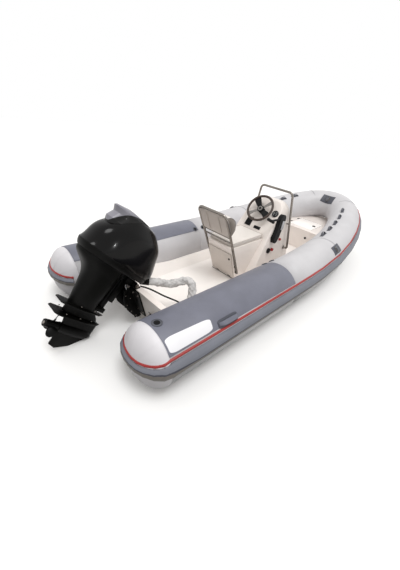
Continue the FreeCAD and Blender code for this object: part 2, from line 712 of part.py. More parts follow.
wheel_up, wheel_across = dim("wheel_up_dash"), dim("wheel_across")
subpart(feature("Helm", dash_disc(wheel_up, wheel_across, dim("helm_radius"), dim("helm_height"))),
        "helm")
subpart(feature("Gauge", dash_disc(wheel_up + 20, -172, 42, 14)), "gauge")
panels = [dash_plate(66, 112, 118, 88, 8), dash_plate(22, -44, 38, 94, 8)]
subpart(feature("SwitchPanels", Part.makeCompound(panels)), "switch_panels")


# Steering wheel: rim, three spokes and hub
def steering_wheel():
    """The wheel, built about its own centre with its axis along Z."""
    rim = Part.makeTorus(dim("wheel_radius"), dim("wheel_grip"))
    hub_low = dim("helm_height") + 0.6 - dim("wheel_stand_off")
    hub = Part.makeCylinder(dim("wheel_hub_radius"), 26, Vector(0, 0, hub_low))
    wheel = rim.fuse(hub)
    for turn in (45, 135, 225, 315):
        inner, outer = dim("wheel_hub_radius") - 8, dim("wheel_radius") - 2
        spoke_points = [Vector(inner, -22, hub_low + 6), Vector(outer, -13, -4),
                        Vector(outer, 13, -4), Vector(inner, 22, hub_low + 6)]
        spoke = Part.Face(Part.makePolygon(spoke_points + spoke_points[:1])).extrude(Vector(0, 0, 7))
        spoke.rotate(Vector(), UP, turn)
        wheel = wheel.fuse(spoke)
    return wheel


wheel = feature("SteeringWheel", steering_wheel())
wheel.Placement = Placement(on_dash(wheel_up, wheel_across, dim("wheel_stand_off")),
                            Rotation(UP, dash_out))
subpart(wheel, "steering_wheel")

# Handrail over the console
rail_x, wide, narrow = dim("rail_station"), dim("rail_foot_half_width"), dim("rail_top_half_width")
side_slope = (foot_half - top_half_width) / (dim("dash_head_level") - dim("floor_level"))


def console_half(level):
    """Half width of the console at this level."""
    return foot_half - side_slope * (level - dim("floor_level"))


wall = console_half(dim("rail_foot_level")) + 3
foot_x = dim("rail_foot_station")
rail_points = [Vector(foot_x, -wall, dim("rail_foot_level")),
               Vector(foot_x, -wide, dim("rail_foot_level")),
               Vector(rail_x, -narrow, dim("rail_top")), Vector(rail_x, narrow, dim("rail_top")),
               Vector(foot_x, wide, dim("rail_foot_level")),
               Vector(foot_x, wall, dim("rail_foot_level"))]
bend = dim("rail_bend")
handrail = bent_tube(rail_points, [24, bend, bend, 24], dim("rail_radius"))
stay_level = 690
stay_share = (stay_level - dim("rail_foot_level")) / (dim("rail_top") - dim("rail_foot_level"))
stay_out, stay_x = wide + (narrow - wide) * stay_share, foot_x + (rail_x - foot_x) * stay_share
for side in (1, -1):
    stay_start = Vector(stay_x, side * (console_half(stay_level) + 1), stay_level)
    stay = Part.makeCylinder(8, stay_out - console_half(stay_level), stay_start,
                             Vector(0, side, 0))
    foot_start = Vector(foot_x, side * wall, dim("rail_foot_level"))
    flange = Part.makeCylinder(26, 5, foot_start, Vector(0, side, 0))
    handrail = handrail.fuse([stay, flange])
subpart(feature("Handrail", handrail), "handrail")

# Backrest: frame, panel and bolster
rest_wide = dim("rest_half_width")
foot = Vector(dim("seat_foot") - dim("rest_foot_inset"), rest_wide, dim("rest_foot_level"))
head = Vector(dim("seat_aft_top") - dim("rest_head_reach"), rest_wide,
              dim("seat_top") + dim("rest_head_rise"))
rest_points = [mirrored(foot), mirrored(head), head, foot]
hoop = bent_tube(rest_points, [dim("rest_bend")] * 2, dim("rail_radius"))
rest_up = (head - foot).normalize()
rest_length = (head - foot).Length
rest_front = Vector(rest_up.z, 0, -rest_up.x)


def on_rest(down, across=0.0, forward=0.0):
    """A point down the backrest from its top bar."""
    return head - rest_up * down + Vector(0, across - rest_wide, 0) + rest_front * forward


rest_parts = [hoop]
for down in (300, 372):
    rest_parts.append(Part.makeCylinder(10, 2 * rest_wide, on_rest(down, -rest_wide), Vector(0, 1, 0)))
frame_shape = rest_parts[0]
for part in rest_parts[1:]:
    frame_shape = frame_shape.fuse(part)
subpart(feature("BackrestFrame", frame_shape), "backrest_frame")


def rest_slab(down_top, down_low, half, back, front):
    """A slab in the plane of the backrest."""
    corners = [on_rest(down_top, -half, back), on_rest(down_low, -half, back),
               on_rest(down_low, -half, front), on_rest(down_top, -half, front)]
    return Part.Face(Part.makePolygon(corners + corners[:1])).extrude(Vector(0, 2 * half, 0))


panel_half = rest_wide - dim("rail_radius") - 1
hoop_space = bent_tube(rest_points, [dim("rest_bend")] * 2, dim("rail_radius") + 0.5)
panel = rest_slab(22, 286, panel_half, -8, 10).cut(hoop_space)
subpart(feature("BackrestPanel", panel), "backrest_panel")
bolster_half = panel_half - 8
bolster = [on_rest(52, -bolster_half, 10.4), on_rest(88, -bolster_half, 84),
           on_rest(180, -bolster_half, 138), on_rest(276, -bolster_half, 112),
           on_rest(322, -bolster_half, 10.4)]
curve = Part.BSplineCurve()
curve.interpolate(bolster)
bolster_wire = Part.Wire([curve.toShape(), Part.makeLine(bolster[-1], bolster[0])])
bolster_shape = Part.Face(bolster_wire).extrude(Vector(0, 2 * bolster_half, 0)).cut(hoop_space)
subpart(feature("BackrestCushion", bolster_shape), "backrest_cushion")

# Engine control and small fittings on the console's starboard side
side_up = Vector(0, side_slope, 1).normalize()
side_out = Vector(0, -1, side_slope).normalize()


def on_side(x, level, out=0.3):
    """A point on the console's starboard side, or out from it."""
    return Vector(x, -console_half(level), level) + side_out * out


def side_plate(outline, thickness, base=0.3):
    """A plate on the console's side with this outline of stations and levels."""
    return face_between([on_side(x, level, base) for x, level in outline]).extrude(side_out * thickness)


def side_disc(x, level, radius, height, base=0.3):
    """A round fitting on the console's side."""
    return Part.makeCylinder(radius, height, on_side(x, level, base), side_out)


CONTROL_BODY = [(1905, 530), (1935, 500), (1985, 530), (2040, 640), (2095, 760), (2096, 812),
                (2060, 842), (2010, 826), (1965, 730), (1920, 610)]
control_curve = Part.BSplineCurve()
control_curve.interpolate([on_side(x, level) for x, level in CONTROL_BODY], PeriodicFlag=True)
control_body = Part.Face(Part.Wire(control_curve.toShape())).extrude(side_out * 52)
lever_start, grip_middle = on_side(2030, 785, 30), Vector(1822, -252, 799)
lever = Part.makeCylinder(13, (grip_middle - lever_start).Length, lever_start,
                          grip_middle - lever_start)
grip_way = Vector(0.15, 1, 0.1).normalize()
grip = Part.makeCylinder(18, 96, grip_middle - grip_way * 48, grip_way)
subpart(feature("EngineControl", control_body.fuse([lever, grip])), "engine_control")
control_badge = side_plate([(2010, 660), (2060, 660), (2085, 760), (2035, 770)], 5, 52.6)
subpart(feature("ControlPlate", control_badge), "control_plate")
subpart(feature("BatterySwitch", side_disc(1884, 400, 34, 16)), "battery_switch")
red_knobs = Part.makeCompound([side_disc(1960, 400, 20, 24), side_disc(2114, 504, 16, 20)])
subpart(feature("RedKnobs", red_knobs), "red_knobs")

# Patches, loops, handles, valves and rings on the tubes
PATCH_LIFT = dim("skin_gap") + dim("patch_thickness")
bow_skin = bow_tube_solid(PATCH_LIFT).cut(bow_tube_solid(dim("skin_gap")))


def on_tube(step, angle, lift=0.0):
    """A point on the port tube at a path step and an angle above its outboard side."""
    centre, out, ahead, girth = tube_station(step)
    turn = math.radians(angle)
    away = out * math.cos(turn) + ahead.cross(out) * math.sin(turn)
    return centre + away * (girth + lift), away, ahead


def tube_box(spot, length, width, low, high):
    """A block on a tube, length along it and width round it, between two heights."""
    base, away, ahead = spot
    across = away.cross(ahead).normalize()
    corner = base - ahead * (length / 2) - across * (width / 2) + away * low
    face = face_between([corner, corner + ahead * length,
                         corner + ahead * length + across * width, corner + across * width])
    return face.extrude(away * (high - low))


def strap(spot, length, width, height, thickness=4):
    """A webbing arch that stands off a tube."""
    base, away, ahead = spot
    across = away.cross(ahead).normalize() * (width / 2)
    half, foot = length / 2, PATCH_LIFT + 0.3
    outline = [(-half, foot - 6), (-half * 0.45, height), (half * 0.45, height), (half, foot - 6)]
    upper = [base + ahead * x + away * z - across for x, z in outline]
    lower = [base + ahead * x + away * z - across for x, z in
             [(half - 2 * thickness, foot - 6), (half * 0.42, height - thickness),
              (-half * 0.42, height - thickness), (-half + 2 * thickness, foot - 6)]]
    return face_between(upper + lower).extrude(across * 2)


def both_sides(shapes):
    """Port shapes with their starboard twins."""
    return shapes + [shape.mirror(Vector(), Vector(0, 1, 0)) for shape in shapes]


LOOP_STEPS = (0.181, 0.258, 0.34, 0.432, 0.54)
LOOP_ANGLE = 110
bow_under = bow_tube_solid(PATCH_LIFT + dim("skin_gap"))
loop_patches, loops = [], []
for step in LOOP_STEPS:
    spot = on_tube(step, LOOP_ANGLE)
    loop_patches.append(tube_box(spot, dim("loop_length") + 24, 44, -30, 30).common(bow_skin))
    loops.append(strap(spot, dim("loop_length"), dim("loop_width"), 34).cut(bow_under))
pad_spots = [on_tube(0.13, 49), on_tube(1, 148)]
pads = [tube_box(pad_spots[0], 190, 112, -40, 40).common(bow_skin)]
nose_pad = tube_box(pad_spots[1], 210, 140, -60, 60).common(bow_skin)
subpart(feature("TubePatches", Part.makeCompound(both_sides(loop_patches + pads) + [nose_pad])),
        "tube_patches")
subpart(feature("GrabLoops", Part.makeCompound(both_sides(loops))), "grab_loops")


def d_ring(spot, width=58):
    """A D-ring held flat against its pad by a stitched tab."""
    base, away, ahead = spot
    across = away.cross(ahead).normalize()
    lift = away * (PATCH_LIFT + dim("ring_bar") + 0.3)
    half = width / 2
    corners = [base + lift + ahead * x + across * y for x, y in
               ((-half, 0), (-half, half), (half * 0.6, half), (half * 0.6, -half),
                (-half, -half), (-half, 0))]
    bend = half * 0.5
    return bent_tube(corners, [8, bend, bend, 8], dim("ring_bar")).cut(bow_under)


rings = both_sides([d_ring(pad_spots[0])]) + [d_ring(pad_spots[1])]
subpart(feature("DRings", Part.makeCompound(rings)), "d_rings")

# Carry handles on the grey panels
handle_middle = Vector(375, dim("tube_spread"), dim("tube_height"))
handle_angle = math.radians(46)
handle_away = Vector(0, math.cos(handle_angle), math.sin(handle_angle))
panel_lift = dim("skin_gap") + dim("panel_thickness") + dim("skin_gap")
handle_spot = (handle_middle + handle_away * dim("tube_radius"), handle_away, Vector(1, 0, 0))
panel_under = Part.makeCylinder(dim("tube_radius") + panel_lift, 600,
                                Vector(100, dim("tube_spread"), dim("tube_height")), Vector(1, 0, 0))
handle_base = tube_box(handle_spot, 290, 96, -20, panel_lift + 8)
handle_grip = strap((handle_spot[0], handle_away, Vector(1, 0, 0)), 230, 34, 52, 16)
handle = handle_base.fuse(handle_grip).cut(panel_under)
for (side_name, _), side_handle in zip(SIDES, both_sides([handle])):
    subpart(feature("CarryHandle" + side_name.title(), side_handle), "carry_handle_" + side_name)

# Valves: one on each stern panel and one on each tube ahead of the panel
VALVES = [(-176, -1, 92, panel_lift, dim("stern_valve_radius")),
          (1510, 1, 127, dim("skin_gap"), dim("valve_radius")),
          (1510, -1, 127, dim("skin_gap"), dim("valve_radius")),
          (1372, 1, 127, panel_lift, dim("valve_radius")),
          (1372, -1, 127, panel_lift, dim("valve_radius"))]
valves = []
for x, side, angle, lift, radius in VALVES:
    turn = math.radians(angle)
    away = Vector(0, side * math.cos(turn), math.sin(turn))
    rise = tube_centre((x - dim("bow_start")) / (dim("bow_start") - dim("panel_front"))).z
    level = rise if x > dim("panel_front") else dim("tube_height")
    middle = Vector(x, side * dim("tube_spread"), level)
    cap = Part.makeCylinder(radius, 18, middle + away * (dim("tube_radius") - 8), away)
    under = Part.makeCylinder(dim("tube_radius") + lift, 200, middle - Vector(100, 0, 0), Vector(1, 0, 0))
    if x > dim("panel_front"):
        under = bow_tube_solid(dim("skin_gap"))
    valves.append(cap.cut(under))
subpart(feature("Valves", Part.makeCompound(valves)), "valves")

# Blank name patches on the grey panels
NAME_PATCH = [(-222, 55), (96, 67), (196, 38), (-176, 37)]
patch_angle = math.radians(48)
patch_away = Vector(0, math.cos(patch_angle), math.sin(patch_angle))
patch_points = []
for x, angle in NAME_PATCH:
    turn = math.radians(angle)
    point = Vector(x, dim("tube_spread") + dim("tube_radius") * math.cos(turn),
                   dim("tube_height") + dim("tube_radius") * math.sin(turn))
    patch_points.append(point - patch_away * (point.dot(patch_away) - dim("tube_spread")))
patch_prism = face_between(patch_points).extrude(patch_away * 600)
patch_start = Vector(-300, dim("tube_spread"), dim("tube_height"))
patch_shell = Part.makeCylinder(dim("tube_radius") + panel_lift + 1.2, 700, patch_start, Vector(1, 0, 0))
patch_shell = patch_shell.cut(Part.makeCylinder(dim("tube_radius") + panel_lift, 700, patch_start,
                                                Vector(1, 0, 0)))
name_patch = patch_prism.common(patch_shell)
subpart(feature("NamePatches", Part.makeCompound(both_sides([name_patch]))), "name_patches")

# Locker fittings
latch = Part.makeCylinder(17, 9, Vector(dim("locker_aft") - 0.3, -194, 281), Vector(-1, 0, 0))
subpart(feature("LockerLatch", latch), "locker_latch")
pull_x, pull_y = dim("lid_aft") + dim("lid_length") / 2, -dim("lid_half_width") + 60
pull = Part.makeCylinder(26, 5, Vector(pull_x, pull_y, dim("locker_top") + 0.3))
subpart(feature("LidPull", pull), "lid_pull")
rake = math.radians(dim("transom_rake"))
transom_aft = Vector(-math.cos(rake), 0, -math.sin(rake))
transom_up = Vector(-math.sin(rake), 0, math.cos(rake))
tow_eyes = []
eye_radius, eye_thick = dim("tow_eye_radius"), dim("tow_eye_thickness")
for side in (1, -1):
    start = Vector(transom_x(dim("tow_eye_level")), side * dim("tow_eye_across"), dim("tow_eye_level"))
    start += transom_aft * dim("skin_gap")
    foot = start - transom_up * 30 - Vector(0, 35, 0)
    base = face_between([foot, foot + transom_up * 60, foot + transom_up * 60 + Vector(0, 70, 0),
                         foot + Vector(0, 70, 0)]).extrude(transom_aft * 6)
    eye_low = start + transom_aft * dim("tow_eye_reach") - transom_up * (eye_thick / 2)
    lug = Part.makeCylinder(eye_radius + 12, eye_thick, eye_low, transom_up)
    heel = start - transom_up * (eye_thick / 2) - Vector(0, eye_radius + 12, 0)
    web = face_between([heel, heel + transom_aft * dim("tow_eye_reach"),
                        heel + transom_aft * dim("tow_eye_reach") + Vector(0, 2 * eye_radius + 24, 0),
                        heel + Vector(0, 2 * eye_radius + 24, 0)]).extrude(transom_up * eye_thick)
    hole = Part.makeCylinder(eye_radius, 60, eye_low - transom_up * 20, transom_up)
    tow_eyes.append(base.fuse([lug, web]).cut(hole))
subpart(feature("TowEyes", Part.makeCompound(tow_eyes)), "tow_eyes")

# Hinges and latch of the seat hatch and the locker lid
face_up = (Vector(*along_out(1, 0)) - Vector(*along_out(0, 0))).normalize()
face_out = Vector(*along_out(0, 1)) - Vector(*along_out(0, 0))
hinge_line = Vector(*along_out(dim("hatch_low") - lap - 5.5, 8))
hinges = []
for side in (1, -1):
    knuckle = hinge_line + Vector(0, side * 100 - 22, 0)
    leaf_start = knuckle - face_out * 7.7 - face_up * 24
    leaf = face_between([leaf_start, leaf_start + Vector(0, 44, 0),
                         leaf_start + Vector(0, 44, 0) + face_up * 24,
                         leaf_start + face_up * 24]).extrude(face_out * 3)
    hinges.append(Part.makeCylinder(5, 44, knuckle, Vector(0, 1, 0)).fuse(leaf))
subpart(feature("HatchHinges", Part.makeCompound(hinges)), "hatch_hinges")
hatch_latch = Part.makeCylinder(13, 6, Vector(*along_out(336, 0.6 + thick)) - Vector(0, 150, 0), face_out)
subpart(feature("HatchLatch", hatch_latch), "hatch_latch")
lid_edge = Vector(0, dim("lid_half_width") + 2.5, dim("locker_top") + 4)
lid_hinges = []
for reach in (70, 300):
    knuckle = lid_edge + Vector(dim("lid_aft") + reach, 0, 0)
    leaf = block((knuckle.x, knuckle.y + 3, dim("locker_top") + 0.3),
                 (knuckle.x + 50, knuckle.y + 26, dim("locker_top") + 3))
    lid_hinges.append(Part.makeCylinder(3.6, 50, knuckle, Vector(1, 0, 0)).fuse(leaf))
subpart(feature("LidHinges", Part.makeCompound(lid_hinges)), "lid_hinges")


# Outboard motor, modelled upright about its tilt axis and then tilted
def on_motor(item, label):
    """Tilt a motor piece with the motor and keep it as a sub-part."""
    place(item, "tilt_axis_x", 0, "tilt_axis_z", Vector(0, 1, 0), "rest_tilt")
    return subpart(item, label)


def plan_ring(front, rear, half, level, power=2.6):
    """A rounded plan outline at one level, blunt ended."""
    count = 16
    middle, reach = (front + rear) / 2, (front - rear) / 2
    points = []
    for i in range(count):
        turn = 2 * math.pi * i / count
        c, s = math.cos(turn), math.sin(turn)
        points.append(Vector(middle + reach * math.copysign(abs(c) ** (2 / power), c),
                             half * math.copysign(abs(s) ** (2 / power), s), level))
    curve = Part.BSplineCurve()
    curve.interpolate(points, PeriodicFlag=True)
    return Part.Wire(curve.toShape())


def ring_loft(rings, ruled=False):
    """A solid through plan outlines given as front, rear, half width and level."""
    return Part.makeLoft([plan_ring(*ring) for ring in rings], True, ruled)


split = dim("cowl_split")
COWL_RINGS = [(100, -636, 190, split), (98, -608, 192, 190), (62, -578, 180, 272),
              (28, -512, 162, 350), (-17, -470, 134, 400), (-80, -425, 98, 450),
              (-170, -320, 44, 470)]
CAP_RINGS = [(-60, -560, 104, 290), (-60, -580, 104, 343), (-85, -552, 100, 404),
             (-110, -578, 92, 444), (-130, -566, 86, 456), (-190, -470, 66, 481),
             (-250, -350, 26, 486)]


def cowl_solid(growth):
    """The cowl, larger all round by the growth."""
    return ring_loft([(front + growth, rear - growth, half + growth, level + growth * (i > 0))
                      for i, (front, rear, half, level) in enumerate(COWL_RINGS)])


cowl = cowl_solid(0)
boot_face, boot_way = Vector(115, -92, 96), Vector(79.6, -66, 57.8).normalize()
boot_collar = Part.makeCylinder(dim("boot_radius") + 4, 84.7, boot_face - boot_way * 85, boot_way)
collar_space = Part.makeCylinder(dim("boot_radius") + 4.3, 120, boot_face - boot_way * 85.3, boot_way)
on_motor(feature("Cowl", cowl.cut(collar_space)), "cowl")
tray = ring_loft([(98, -635, 188, split - 0.3), (92, -628, 182, 60), (84, -616, 168, 36)])
on_motor(feature("CowlTray", tray.fuse(boot_collar)), "cowl_tray")
swivel_x = -dim("swivel_offset")
leg = ring_loft([(-150, -612, 128, 35.7), (-150, -596, 124, -8), (-150, -524, 108, -60),
                 (-149, -468, 94, -120), (-148, -442, 82, -190), (-146, -412, 62, -330),
                 (-90, -400, 46, -420), (-40, -397, 40, -478)])
yoke_low = block((swivel_x - 60, -44, -372), (swivel_x + 36, 44, dim("swivel_bottom") - 1))
plate_ring = [Vector(20, 0, 0), Vector(-60, 62, 0), Vector(-200, 92, 0), Vector(-450, 96, 0),
              Vector(-480, 70, 0)]
plate_ring += [mirrored(p) for p in plate_ring[:0:-1]]
spray_plate = face_between([Vector(p.x * 0.94 - 32, p.y * 0.8, dim("spray_level"))
                            for p in plate_ring]).extrude(Vector(0, 0, dim("plate_thickness")))
on_motor(feature("MotorLeg", leg.fuse([yoke_low, spray_plate])), "motor_leg")

cap_blank = ring_loft(CAP_RINGS, ruled=True)
on_motor(feature("MotorCap", cap_blank.cut(cowl_solid(dim("skin_gap")))), "motor_cap")

# Swivel bracket: head, tilt tube and swivel tube
eye_x, eye_z = dim("ram_eye_x"), dim("ram_eye_z")
head = block((swivel_x, -dim("swivel_half_width"), -36), (26, dim("swivel_half_width"), 24))
eye_slot = block((eye_x - 40, -15, eye_z - 45), (eye_x + 32, 15, 10))
rod_slot = block((eye_x, -15, eye_z - 45), (60, 15, -dim("tilt_pin_radius") - 2))
eye_ears = Part.makeCylinder(14, 58, Vector(eye_x, -29, eye_z), Vector(0, 1, 0))
eye_pin = Part.makeCylinder(dim("ram_pin_radius"), 58, Vector(eye_x, -29, eye_z), Vector(0, 1, 0))
swivel_tube = Part.makeCylinder(dim("swivel_radius"), dim("swivel_top") - dim("swivel_bottom"),
                                Vector(swivel_x, 0, dim("swivel_bottom")))
tilt_pin = Part.makeCylinder(dim("tilt_pin_radius"), 2 * (dim("clamp_inner") + 40),
                             Vector(0, -dim("clamp_inner") - 40, 0), Vector(0, 1, 0))
cheeks = block((swivel_x - 20, -46, -250), (swivel_x + 46, -30, -30))
cheeks = cheeks.fuse(block((swivel_x - 20, 30, -250), (swivel_x + 46, 46, -30)))
swivel = head.fuse([eye_ears, cheeks]).cut(rod_slot).cut(eye_slot).fuse([swivel_tube, tilt_pin, eye_pin])
on_motor(feature("SwivelBracket", swivel), "swivel_bracket")

# Gearcase with its plates and skeg, and the propeller
shaft, plate_low = dim("shaft_level"), dim("plate_level")
plate_high = plate_low + dim("plate_thickness")
strut = ring_loft([(-36, -418, 38, -478.3), (-10, -380, 30, plate_high), (0, -330, 24, -560),
                   (0, -325, 20, shaft + 20)])
torpedo_profile = [Vector(8, 0, shaft), Vector(-30, 0, shaft + 34), Vector(-90, 0, shaft + 46),
                   Vector(-220, 0, shaft + 48), Vector(-333, 0, shaft + 40)]
torpedo_curve = Part.BSplineCurve()
torpedo_curve.interpolate(torpedo_profile)
torpedo_wire = Part.Wire([torpedo_curve.toShape(),
                          Part.makeLine(torpedo_profile[-1], Vector(-333, 0, shaft)),
                          Part.makeLine(Vector(-333, 0, shaft), torpedo_profile[0])])
torpedo = Part.Face(torpedo_wire).revolve(Vector(0, 0, shaft), Vector(1, 0, 0), 360)
skeg_outline = [(0, -560), (0, -711), (-240, -811), (-305, -788), (-313, -690), (-300, -560)]
skeg_points = [Vector(x, -6, z) for x, z in skeg_outline]
skeg = Part.Face(Part.makePolygon(skeg_points + skeg_points[:1])).extrude(Vector(0, 12, 0))
plate = face_between([p + UP * plate_low for p in plate_ring]).extrude(
    Vector(0, 0, dim("plate_thickness")))
gear_end = torpedo_profile[-1].x
prop_shaft = Part.makeCylinder(dim("shaft_radius"), dim("propeller_length") + 2,
                               Vector(gear_end + 4, 0, shaft), Vector(-1, 0, 0))
gearcase = strut.fuse([torpedo, skeg, plate, prop_shaft])
on_motor(feature("Gearcase", gearcase), "gearcase")


def blade():
    """One propeller blade, standing up from the shaft."""
    sections = []
    for reach, chord, pitch in ((24, 46, 62), (58, 84, 42), (90, 84, 30), (dim("propeller_radius"), 34, 24)):
        turn = math.radians(pitch)
        along = Vector(math.sin(turn), math.cos(turn), 0)
        across = Vector(math.cos(turn), -math.sin(turn), 0)
        centre = Vector(0, 0, reach)
        nose, tail = centre + along * (chord / 2), centre - along * (chord / 2)
        thick = 4.5 * (1.2 - reach / (1.3 * dim("propeller_radius")))
        upper = Part.Arc(nose, centre + across * thick, tail).toShape()
        lower = Part.Arc(tail, centre - across * thick, nose).toShape()
        sections.append(Part.Wire([upper, lower]))
    return Part.makeLoft(sections, True, False)


def propeller():
    """Hub and blades about the shaft."""
    front, length = dim("propeller_front"), dim("propeller_length")
    hub = Part.makeCone(dim("propeller_hub"), dim("propeller_hub") - 5, length, Vector(front, 0, shaft),
                        Vector(-1, 0, 0))
    result = hub
    for i in range(int(dim("blade_count"))):
        one = blade()
        one.translate(Vector(front - length * 0.45, 0, shaft))
        one.rotate(Vector(0, 0, shaft), Vector(1, 0, 0), 360 / dim("blade_count") * i)
        result = result.fuse(one)
    return result.cut(Part.makeCylinder(dim("shaft_radius") + dim("running_gap"), 400,
                                        Vector(front + 100, 0, shaft), Vector(-1, 0, 0)))


on_motor(feature("Propeller", propeller()), "propeller")


# Clamp bracket: two plates that hook over the transom's notch, joined by the ram's lower pin
def clamp_plate(side):
    """One clamp plate, in boat coordinates."""
    pivot_x, pivot_z = dim("tilt_axis_x"), dim("tilt_axis_z")
    gap, low, hook_low = 0.4, dim("clamp_low"), dim("notch_level") - 110
    top = dim("notch_level") + gap
    aft_top, aft_low = transom_x(top) - gap, transom_x(low) - gap
    fore_top, fore_low = transom_x(top) + board + gap, transom_x(hook_low) + board + gap
    outline = [(pivot_x + 20, pivot_z + 8), (fore_top + 17, top + 4), (fore_low + 16, hook_low),
               (fore_low, hook_low), (fore_top, top), (aft_top, top), (aft_low, low),
               (aft_low - 68, low), (pivot_x + dim("ram_foot_x") - 32, pivot_z + dim("ram_foot_z")),
               (aft_top - 62, top - 70), (aft_top - 56, top - 8), (pivot_x - 22, pivot_z + 6)]
    start = side * (dim("clamp_inner") + dim("clamp_thickness") / 2) - dim("clamp_thickness") / 2
    plate = face_between([Vector(x, start, z) for x, z in outline])
    boss = Part.makeCylinder(25, dim("clamp_thickness"), Vector(pivot_x, start, pivot_z),
                             Vector(0, 1, 0))
    flange_low, flange_high = 150, dim("notch_level") + 48
    corners = []
    for level in (flange_low, flange_high):
        corners.append(Vector(transom_x(level) - gap, side * dim("clamp_inner"), level))
    flange_end = side * dim("clamp_flange")
    flange = face_between([corners[0], corners[1], Vector(corners[1].x, flange_end, flange_high),
                           Vector(corners[0].x, flange_end, flange_low)])
    return plate.extrude(Vector(0, dim("clamp_thickness"), 0)).fuse([boss, flange.extrude(transom_aft * 12)])


tilt_axis = Vector(dim("tilt_axis_x"), 0, dim("tilt_axis_z"))
ram_foot = tilt_axis + Vector(dim("ram_foot_x"), 0, dim("ram_foot_z"))
clamp_outer = dim("clamp_inner") + dim("clamp_thickness")


pin_hole = cross_pin(tilt_axis, dim("tilt_pin_radius") + dim("running_gap"), 200)
plates = clamp_plate(1).fuse([clamp_plate(-1), cross_pin(ram_foot, 9, clamp_outer)])
subpart(feature("ClampBracket", plates.cut(pin_hole)), "clamp_bracket")

# Tilt ram between the clamp plates, drawn out as far as the stored tilt needs
tilt_turn = Rotation(Vector(0, 1, 0), dim("rest_tilt"))
ram_eye = tilt_axis + tilt_turn.multVec(Vector(dim("ram_eye_x"), 0, dim("ram_eye_z")))
ram_way = (ram_eye - ram_foot).normalize()
ram_reach = (ram_eye - ram_foot).Length
ram_radius, rod_radius = dim("ram_radius"), dim("ram_rod_radius")
barrel_start, barrel_end, rod_start, pin_radius = 18, 180, 132, dim("ram_pin_radius")
barrel = Part.makeCylinder(ram_radius, barrel_end - barrel_start, ram_foot + ram_way * barrel_start,
                           ram_way)
barrel = barrel.fuse(cross_pin(ram_foot, 20, 16)).cut(cross_pin(ram_foot, 9 + dim("running_gap"), 40))
bore = Part.makeCylinder(rod_radius + dim("running_gap"), 200, ram_foot + ram_way * 55, ram_way)
subpart(feature("RamBarrel", barrel.cut(bore)), "ram_barrel")
rod = Part.makeCylinder(rod_radius, ram_reach - rod_start - 10, ram_foot + ram_way * rod_start, ram_way)
rod = rod.fuse(cross_pin(ram_eye, pin_radius + dim("ram_eye_play") + 6, 11))
subpart(feature("RamRod", rod.cut(cross_pin(ram_eye, pin_radius + dim("ram_eye_play"), 40))), "ram_rod")

# Rigging boot from the motor's tray to the side of the cockpit, and the control cable
motor_pose = Placement(tilt_axis, tilt_turn)
boot_start = motor_pose.multVec(boot_face)
BOOT_ROUTE = [tuple(boot_start), (268, -146, 424), (345, -200, 404), (424, -248, 424),
              (486, -300, 456), (508, -350, 430), (486, -384, 364), (452, -402, 296),
              (432, -412, 232)]
CABLE_ROUTE = [(84, -108, 428), (112, -172, 436), (158, -232, 412), (212, -282, 372),
               (274, -326, 336), (334, -370, 300), (366, -412, 258), (386, -460.7, 226)]


ROUTE_SIDE = 461


def laid(name, route, radius):
    """A hose along a route of hand-placed points, with the largest arcs its runs allow."""
    share = (dim("tube_spread") - dim("tube_radius")) / ROUTE_SIDE
    points = [Vector(x, y * (share if i else 1), z) for i, (x, y, z) in enumerate(route)]
    bends = []
    for before, here, after in zip(points, points[1:], points[2:]):
        half = (before - here).getAngle(after - here) / 2
        shorter = min((here - before).Length, (after - here).Length)
        bends.append(0.45 * shorter * math.tan(half))
    shape = bent_tube(points, bends, radius)
    return feature(name, shape)


subpart(laid("RiggingBoot", BOOT_ROUTE, dim("boot_radius")), "rigging_boot")
subpart(laid("ControlCable", CABLE_ROUTE, dim("cable_radius")), "control_cable")

# Check every object, then write one file for each sub-part
doc.recompute()
for item in doc.Objects:
    if "Invalid" in item.State or "Error" in item.State:
        raise RuntimeError(f"{item.Label} failed: {item.State}")
os.makedirs("parts", exist_ok=True)
for item in SUBPARTS:
    shape = item.Shape
    if shape.isNull() or not shape.isValid():
        raise RuntimeError(f"{item.Label} has no valid shape")
    shape.exportStep(os.path.join("parts", item.Label + ".step"))
    print(item.Label, len(shape.Solids), round(shape.Volume / 1e6, 2), shape.BoundBox)
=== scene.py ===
"""Rigid inflatable boat with a tilted outboard motor: finishes, soft parts and fittings.

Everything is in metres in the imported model's frame: +X forward, +Y to port, +Z up from the water.
"""
import json
import logging
import math
from dataclasses import dataclass
from enum import Enum
from typing import Callable, Iterable, Optional, Sequence

import bpy
import bmesh
from mathutils import Matrix, Vector


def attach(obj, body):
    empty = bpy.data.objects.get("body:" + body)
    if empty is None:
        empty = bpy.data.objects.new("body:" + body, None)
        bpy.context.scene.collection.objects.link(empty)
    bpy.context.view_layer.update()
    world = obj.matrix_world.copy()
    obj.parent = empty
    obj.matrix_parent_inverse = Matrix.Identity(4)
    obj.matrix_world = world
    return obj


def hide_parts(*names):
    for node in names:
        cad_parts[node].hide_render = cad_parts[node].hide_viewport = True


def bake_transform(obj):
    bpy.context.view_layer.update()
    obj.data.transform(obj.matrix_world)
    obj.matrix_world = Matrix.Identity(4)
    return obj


log = logging.getLogger("rib_boat")
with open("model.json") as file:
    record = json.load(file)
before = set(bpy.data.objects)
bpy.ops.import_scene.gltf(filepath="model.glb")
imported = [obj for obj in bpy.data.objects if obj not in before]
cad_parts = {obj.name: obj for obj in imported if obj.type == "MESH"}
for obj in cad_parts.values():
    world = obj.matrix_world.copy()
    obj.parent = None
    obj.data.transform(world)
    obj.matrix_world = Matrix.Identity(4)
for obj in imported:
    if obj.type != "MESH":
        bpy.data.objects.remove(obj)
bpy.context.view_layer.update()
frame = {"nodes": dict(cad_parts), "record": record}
MM = 0.001
UP = Vector((0, 0, 1))
